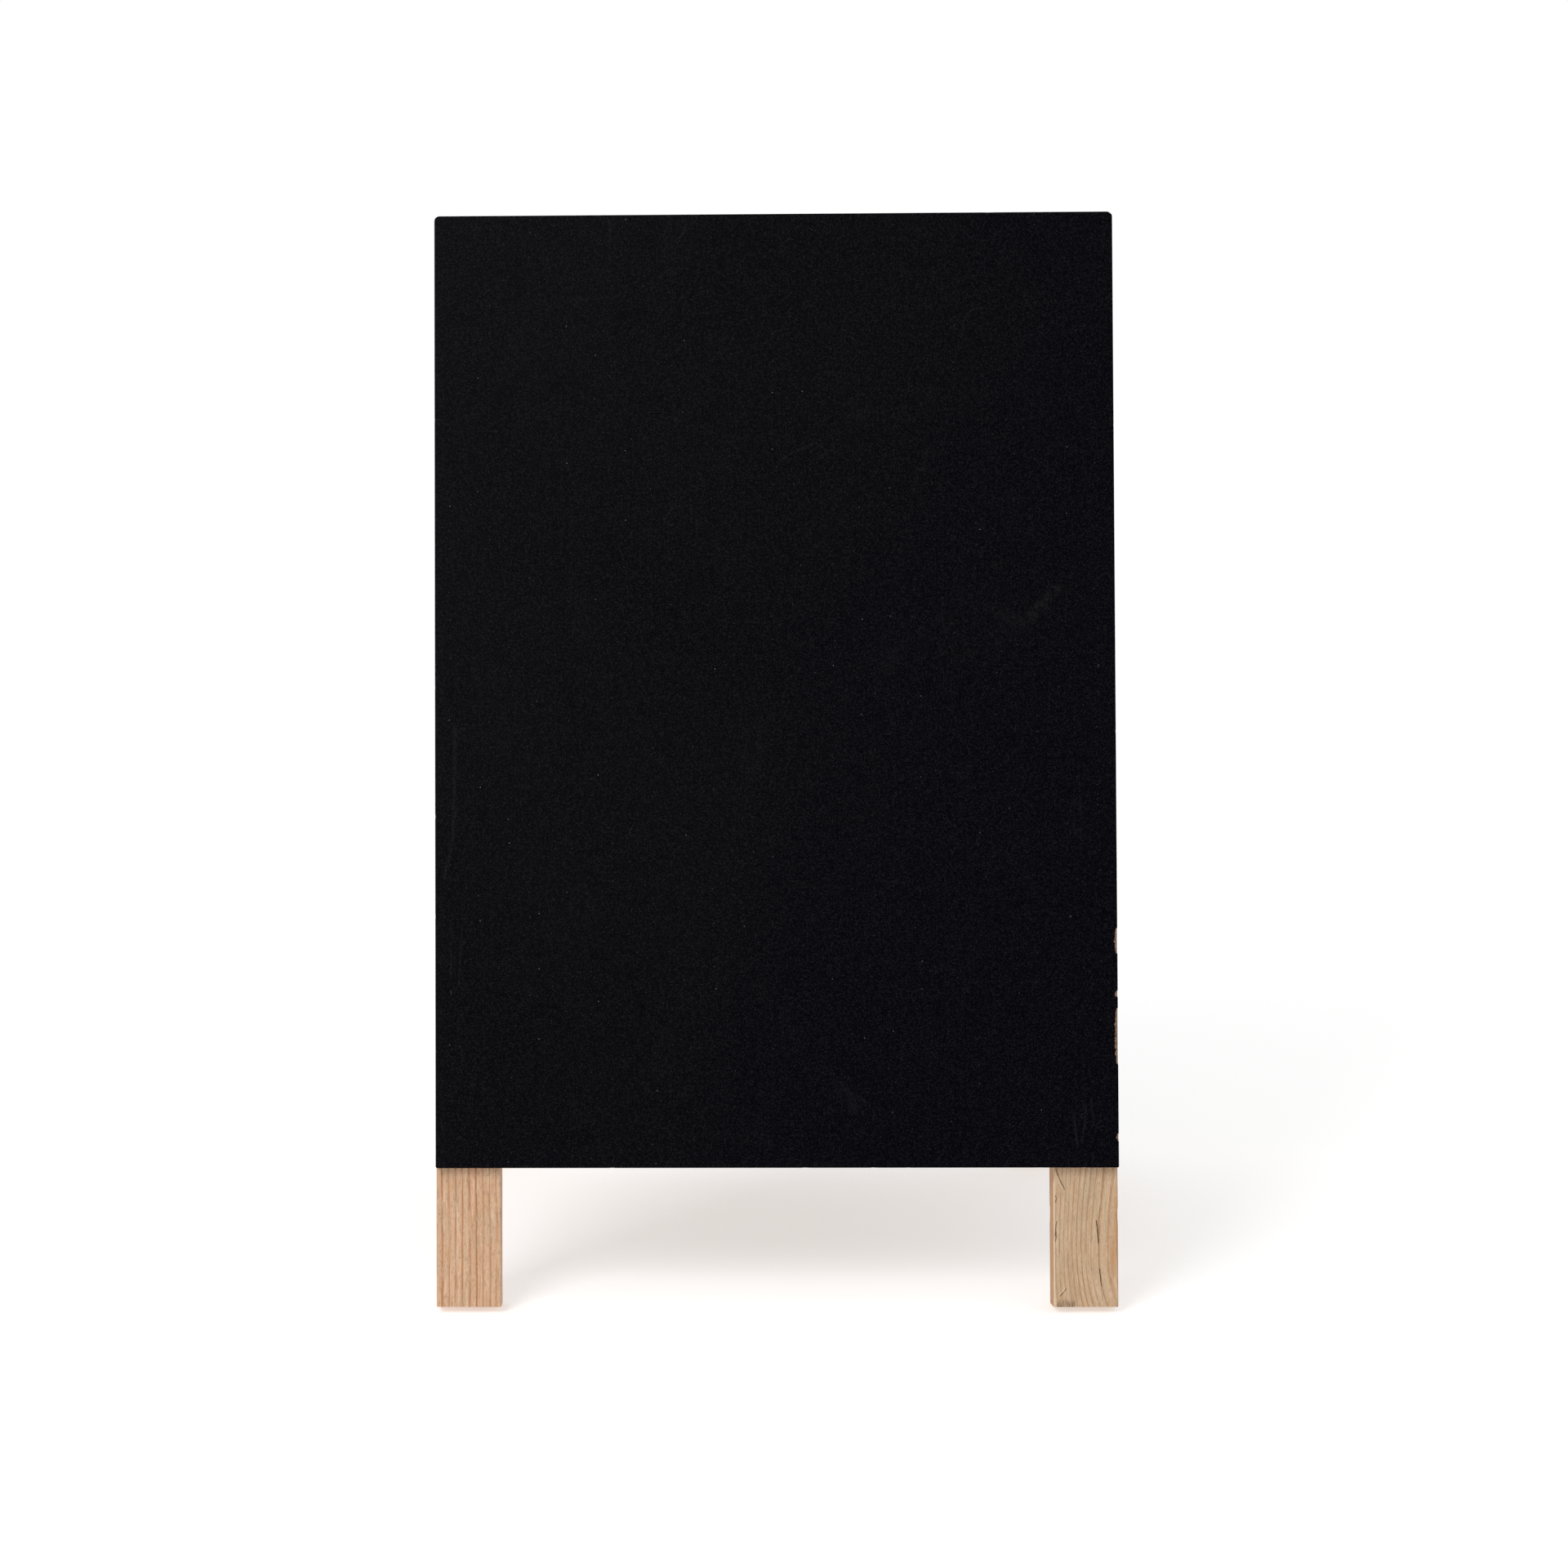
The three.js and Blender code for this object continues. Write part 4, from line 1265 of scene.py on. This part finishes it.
def make_leaf(which, side):
    node = f"{side}_hinge_{which}_leaf"
    low, high = own_box(node, which)
    outer = -low.y
    inner = outer - LEAF_THICKNESS
    pitch = (high.x - low.x) / KNUCKLES
    bm = bmesh.new()
    bm.from_mesh(block((low.x, -outer, low.z), (high.x, -inner, -outer - PLATE_TOP)))
    corners = []
    for edge in bm.edges:
        through = abs(edge.verts[0].co.y - edge.verts[1].co.y) > LEAF_THICKNESS / 2
        if through and max(vertex.co.z for vertex in edge.verts) < -outer - PLATE_TOP - LEAF_CORNER:
            corners.append(edge)
    bmesh.ops.bevel(bm, geom=corners, offset=LEAF_CORNER, segments=6, profile=0.5, affect="EDGES")
    curls = []
    for i in range(1 if which == "front" else 0, KNUCKLES, 2):
        start = low.x + i * pitch
        curls.append(knuckle(start + KNUCKLE_GAP, start + pitch - KNUCKLE_GAP, outer, inner))
    leaf = combined(to_mesh(bm), curls, "UNION")
    holes = [screw_hole(*leaf_screw_place(which, side, number)) for number in (1, 2)]
    leaf = combined(leaf, holes, "DIFFERENCE")
    metal(f"{node}_rolled", leaf, AXES[which], f"{which}_frame", "hinge_brass", node)


PIN_SHANK = 0.92
PIN_DOME = 0.6


def make_pin(side):
    node = f"{side}_hinge_pin"
    low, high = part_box(node)
    half = (high.x - low.x) / 2 / MM
    head = (high.z - low.z) / 2 / MM
    neck = half - PIN_DOME
    upper = [(PIN_SHANK, neck), (head, neck), (head, neck + 0.4 * PIN_DOME), (0.7 * head, half - 0.1)]
    upper.append((TIP, half))
    lower = [(radius, -height) for radius, height in reversed(upper)]
    matrix = in_row((low + high) / 2, (1, 0, 0))
    metal(f"{node}_turned", turned(lower + upper), matrix, "rear_frame", "hinge_brass", node)


# ---- stays ----

LINK_HOLE = 1.65  # the same in the washers
LINK_END_STEPS = 18
LINK_ARRIS = 0.2
WASHER_ARRIS = 0.15
PIVOT_SHANK = 1.5  # the rivet's too
PIVOT_HEAD_HEIGHT = 1.6
RIVET_DOME = 0.7
RIVET_PROUD = 0.8  # of the rear link's inner side


def make_link(side, end):
    """A flat bar with round ends, eased arrises and a hole at each end, lying along Y."""
    node = f"{side}_stay_{end}_link"
    low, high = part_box(node)
    size = (high - low) / MM
    half_width = size.z / 2
    half = size.x / 2
    reach = size.y / 2 - half_width
    ends = []
    for centre, start in ((reach, -QUARTER), (-reach, QUARTER)):
        ends += [(centre, start + k / LINK_END_STEPS * math.pi) for k in range(LINK_END_STEPS + 1)]
    rings = []
    for x, inset in ((-half, LINK_ARRIS), (LINK_ARRIS - half, 0), (half - LINK_ARRIS, 0), (half, LINK_ARRIS)):
        radius = half_width - inset
        rings.append([Vector((x, centre + radius * math.cos(a), radius * math.sin(a))) for centre, a in ends])
    holes = []
    for centre in (-reach, reach):
        holes.append(placed(hole(LINK_HOLE, -2 * size.x, 2 * size.x), pointing((1, 0, 0), (0, centre, 0))))
    bar = combined(to_mesh(skin(rings)), holes, "DIFFERENCE")
    matrix = Matrix.Translation((low + high) / 2) @ Matrix.Scale(MM, 4)
    metal(f"{node}_bar", bar, matrix, f"{side}_stay_{end}", "zinc_plate", node)


def make_washer(side, end, kind):
    node = f"{side}_stay_{end}_{kind}"
    low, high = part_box(node)
    half = (high.x - low.x) / 2 / MM
    radius = (high.z - low.z) / 2 / MM
    upper = [(radius, half - WASHER_ARRIS), (radius - WASHER_ARRIS, half), (LINK_HOLE, half)]
    lower = [(across, -height) for across, height in reversed(upper)]
    matrix = in_row((low + high) / 2, (1, 0, 0))
    metal(f"{node}_ring", turned_ring(lower + upper), matrix, f"{end}_frame", "zinc_plate", node)


def make_pivot_screw(side, end):
    node = f"{side}_stay_{end}_screw"
    low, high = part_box(node)
    outwards = SIDES[side]
    head = (high.z - low.z) / 2 / MM
    length = (high.x - low.x) / MM - PIVOT_HEAD_HEIGHT
    inner_x = low.x if outwards > 0 else high.x
    middle = (low + high) / 2
    place = Vector((inner_x + outwards * PIVOT_HEAD_HEIGHT * MM, middle.y, middle.z))
    mesh = pan_screw(head, PIVOT_HEAD_HEIGHT, PIVOT_SHANK, length)
    metal(f"{node}_turned", mesh, in_row(place, (-outwards, 0, 0)), f"{end}_frame", "zinc_plate", node)


def make_rivet(side):
    """The stay's centre rivet. It rides on the front link and passes through the rear link's hole, which it
    meets when the board is open or folded."""
    node = f"{side}_stay_rivet"
    low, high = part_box(node)
    rear_low, rear_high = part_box(f"{side}_stay_rear_link")
    outwards = SIDES[side]
    outer_x = max(abs(low.x), abs(high.x)) / MM
    inner_x = min(abs(rear_low.x), abs(rear_high.x)) / MM - RIVET_PROUD
    head = (high.z - low.z) / 2 / MM
    length = outer_x - inner_x
    lower = [(TIP, 0.0), (0.6 * head, 0.08), (0.92 * head, 0.6 * RIVET_DOME), (head, RIVET_DOME)]
    lower.append((PIVOT_SHANK, RIVET_DOME))
    upper = [(radius, length - height) for radius, height in reversed(lower)]
    place = Vector((outwards * inner_x * MM, (low.y + high.y) / 2, (low.z + high.z) / 2))
    matrix = in_row(place, (outwards, 0, 0))
    metal(f"{node}_set", turned(lower + upper), matrix, f"{side}_stay_front", "zinc_plate", node)


# ---- studio ----


FLOOR_GLOW = 0.42  # the white sweep is lit from below as well, which keeps its shadows pale
KEY_PLACE = Vector((-0.65, -0.9, 1.0))  # up, to the left and in front
KEY_SIZE = 0.6
KEY_POWER = 6.5
AMBIENT = 0.67
BACKGROUND = 1.0
WHITE = (1.0, 1.0, 1.0, 1.0)


def make_floor():
    """A plain pale floor that runs out of sight."""
    bm = bmesh.new()
    bmesh.ops.create_circle(bm, cap_ends=True, segments=96, radius=30.0)
    floor = bpy.data.objects.new("floor", to_mesh(bm, "floor"))
    g = Graph("floor_paper")
    g.set(Base_Color=(0.88, 0.88, 0.88, 1.0), Roughness=0.95, Specular_IOR_Level=0.1)
    g.set(Emission_Color=WHITE, Emission_Strength=FLOOR_GLOW)
    floor.data.materials.append(g.material)
    bpy.context.scene.collection.objects.link(floor)


def make_light():
    """One broad soft key and an even white surround."""
    key = bpy.data.objects.new("key", bpy.data.lights.new("key", "AREA"))
    key.data.energy = KEY_POWER
    key.data.size = KEY_SIZE
    key.location = KEY_PLACE
    key.rotation_euler = (KEY_PLACE - FACE_MIDDLE).to_track_quat("Z", "Y").to_euler()
    bpy.context.scene.collection.objects.link(key)
    world = bpy.data.worlds.new("studio")
    world.use_nodes = True
    nodes, links = world.node_tree.nodes, world.node_tree.links
    seen = nodes.new("ShaderNodeLightPath")
    level = nodes.new("ShaderNodeMapRange")
    level.inputs["To Min"].default_value = AMBIENT
    level.inputs["To Max"].default_value = BACKGROUND
    links.new(seen.outputs["Is Camera Ray"], level.inputs["Value"])
    links.new(level.outputs["Result"], nodes["Background"].inputs["Strength"])
    nodes["Background"].inputs["Color"].default_value = WHITE
    bpy.context.scene.world = world
    bpy.context.scene.view_settings.view_transform = "Standard"


# ---- the scene ----

make_camera()
make_light()
make_floor()
for number, which in enumerate(("front", "rear")):
    writing_panel(which)
    for place, side in enumerate(SIDES):
        make_leg(which, side, 1.0 + 2 * number + place)
        make_leaf(which, side)
    for place, rail in enumerate(RAILS):
        make_rail(which, rail, 5.0 + 2 * number + place)
    make_frame_screws(which)
for side in SIDES:
    make_pin(side)
    make_rivet(side)
    for end, kind in (("front", "washer"), ("rear", "spacer")):
        make_link(side, end)
        make_washer(side, end, kind)
        make_pivot_screw(side, end)
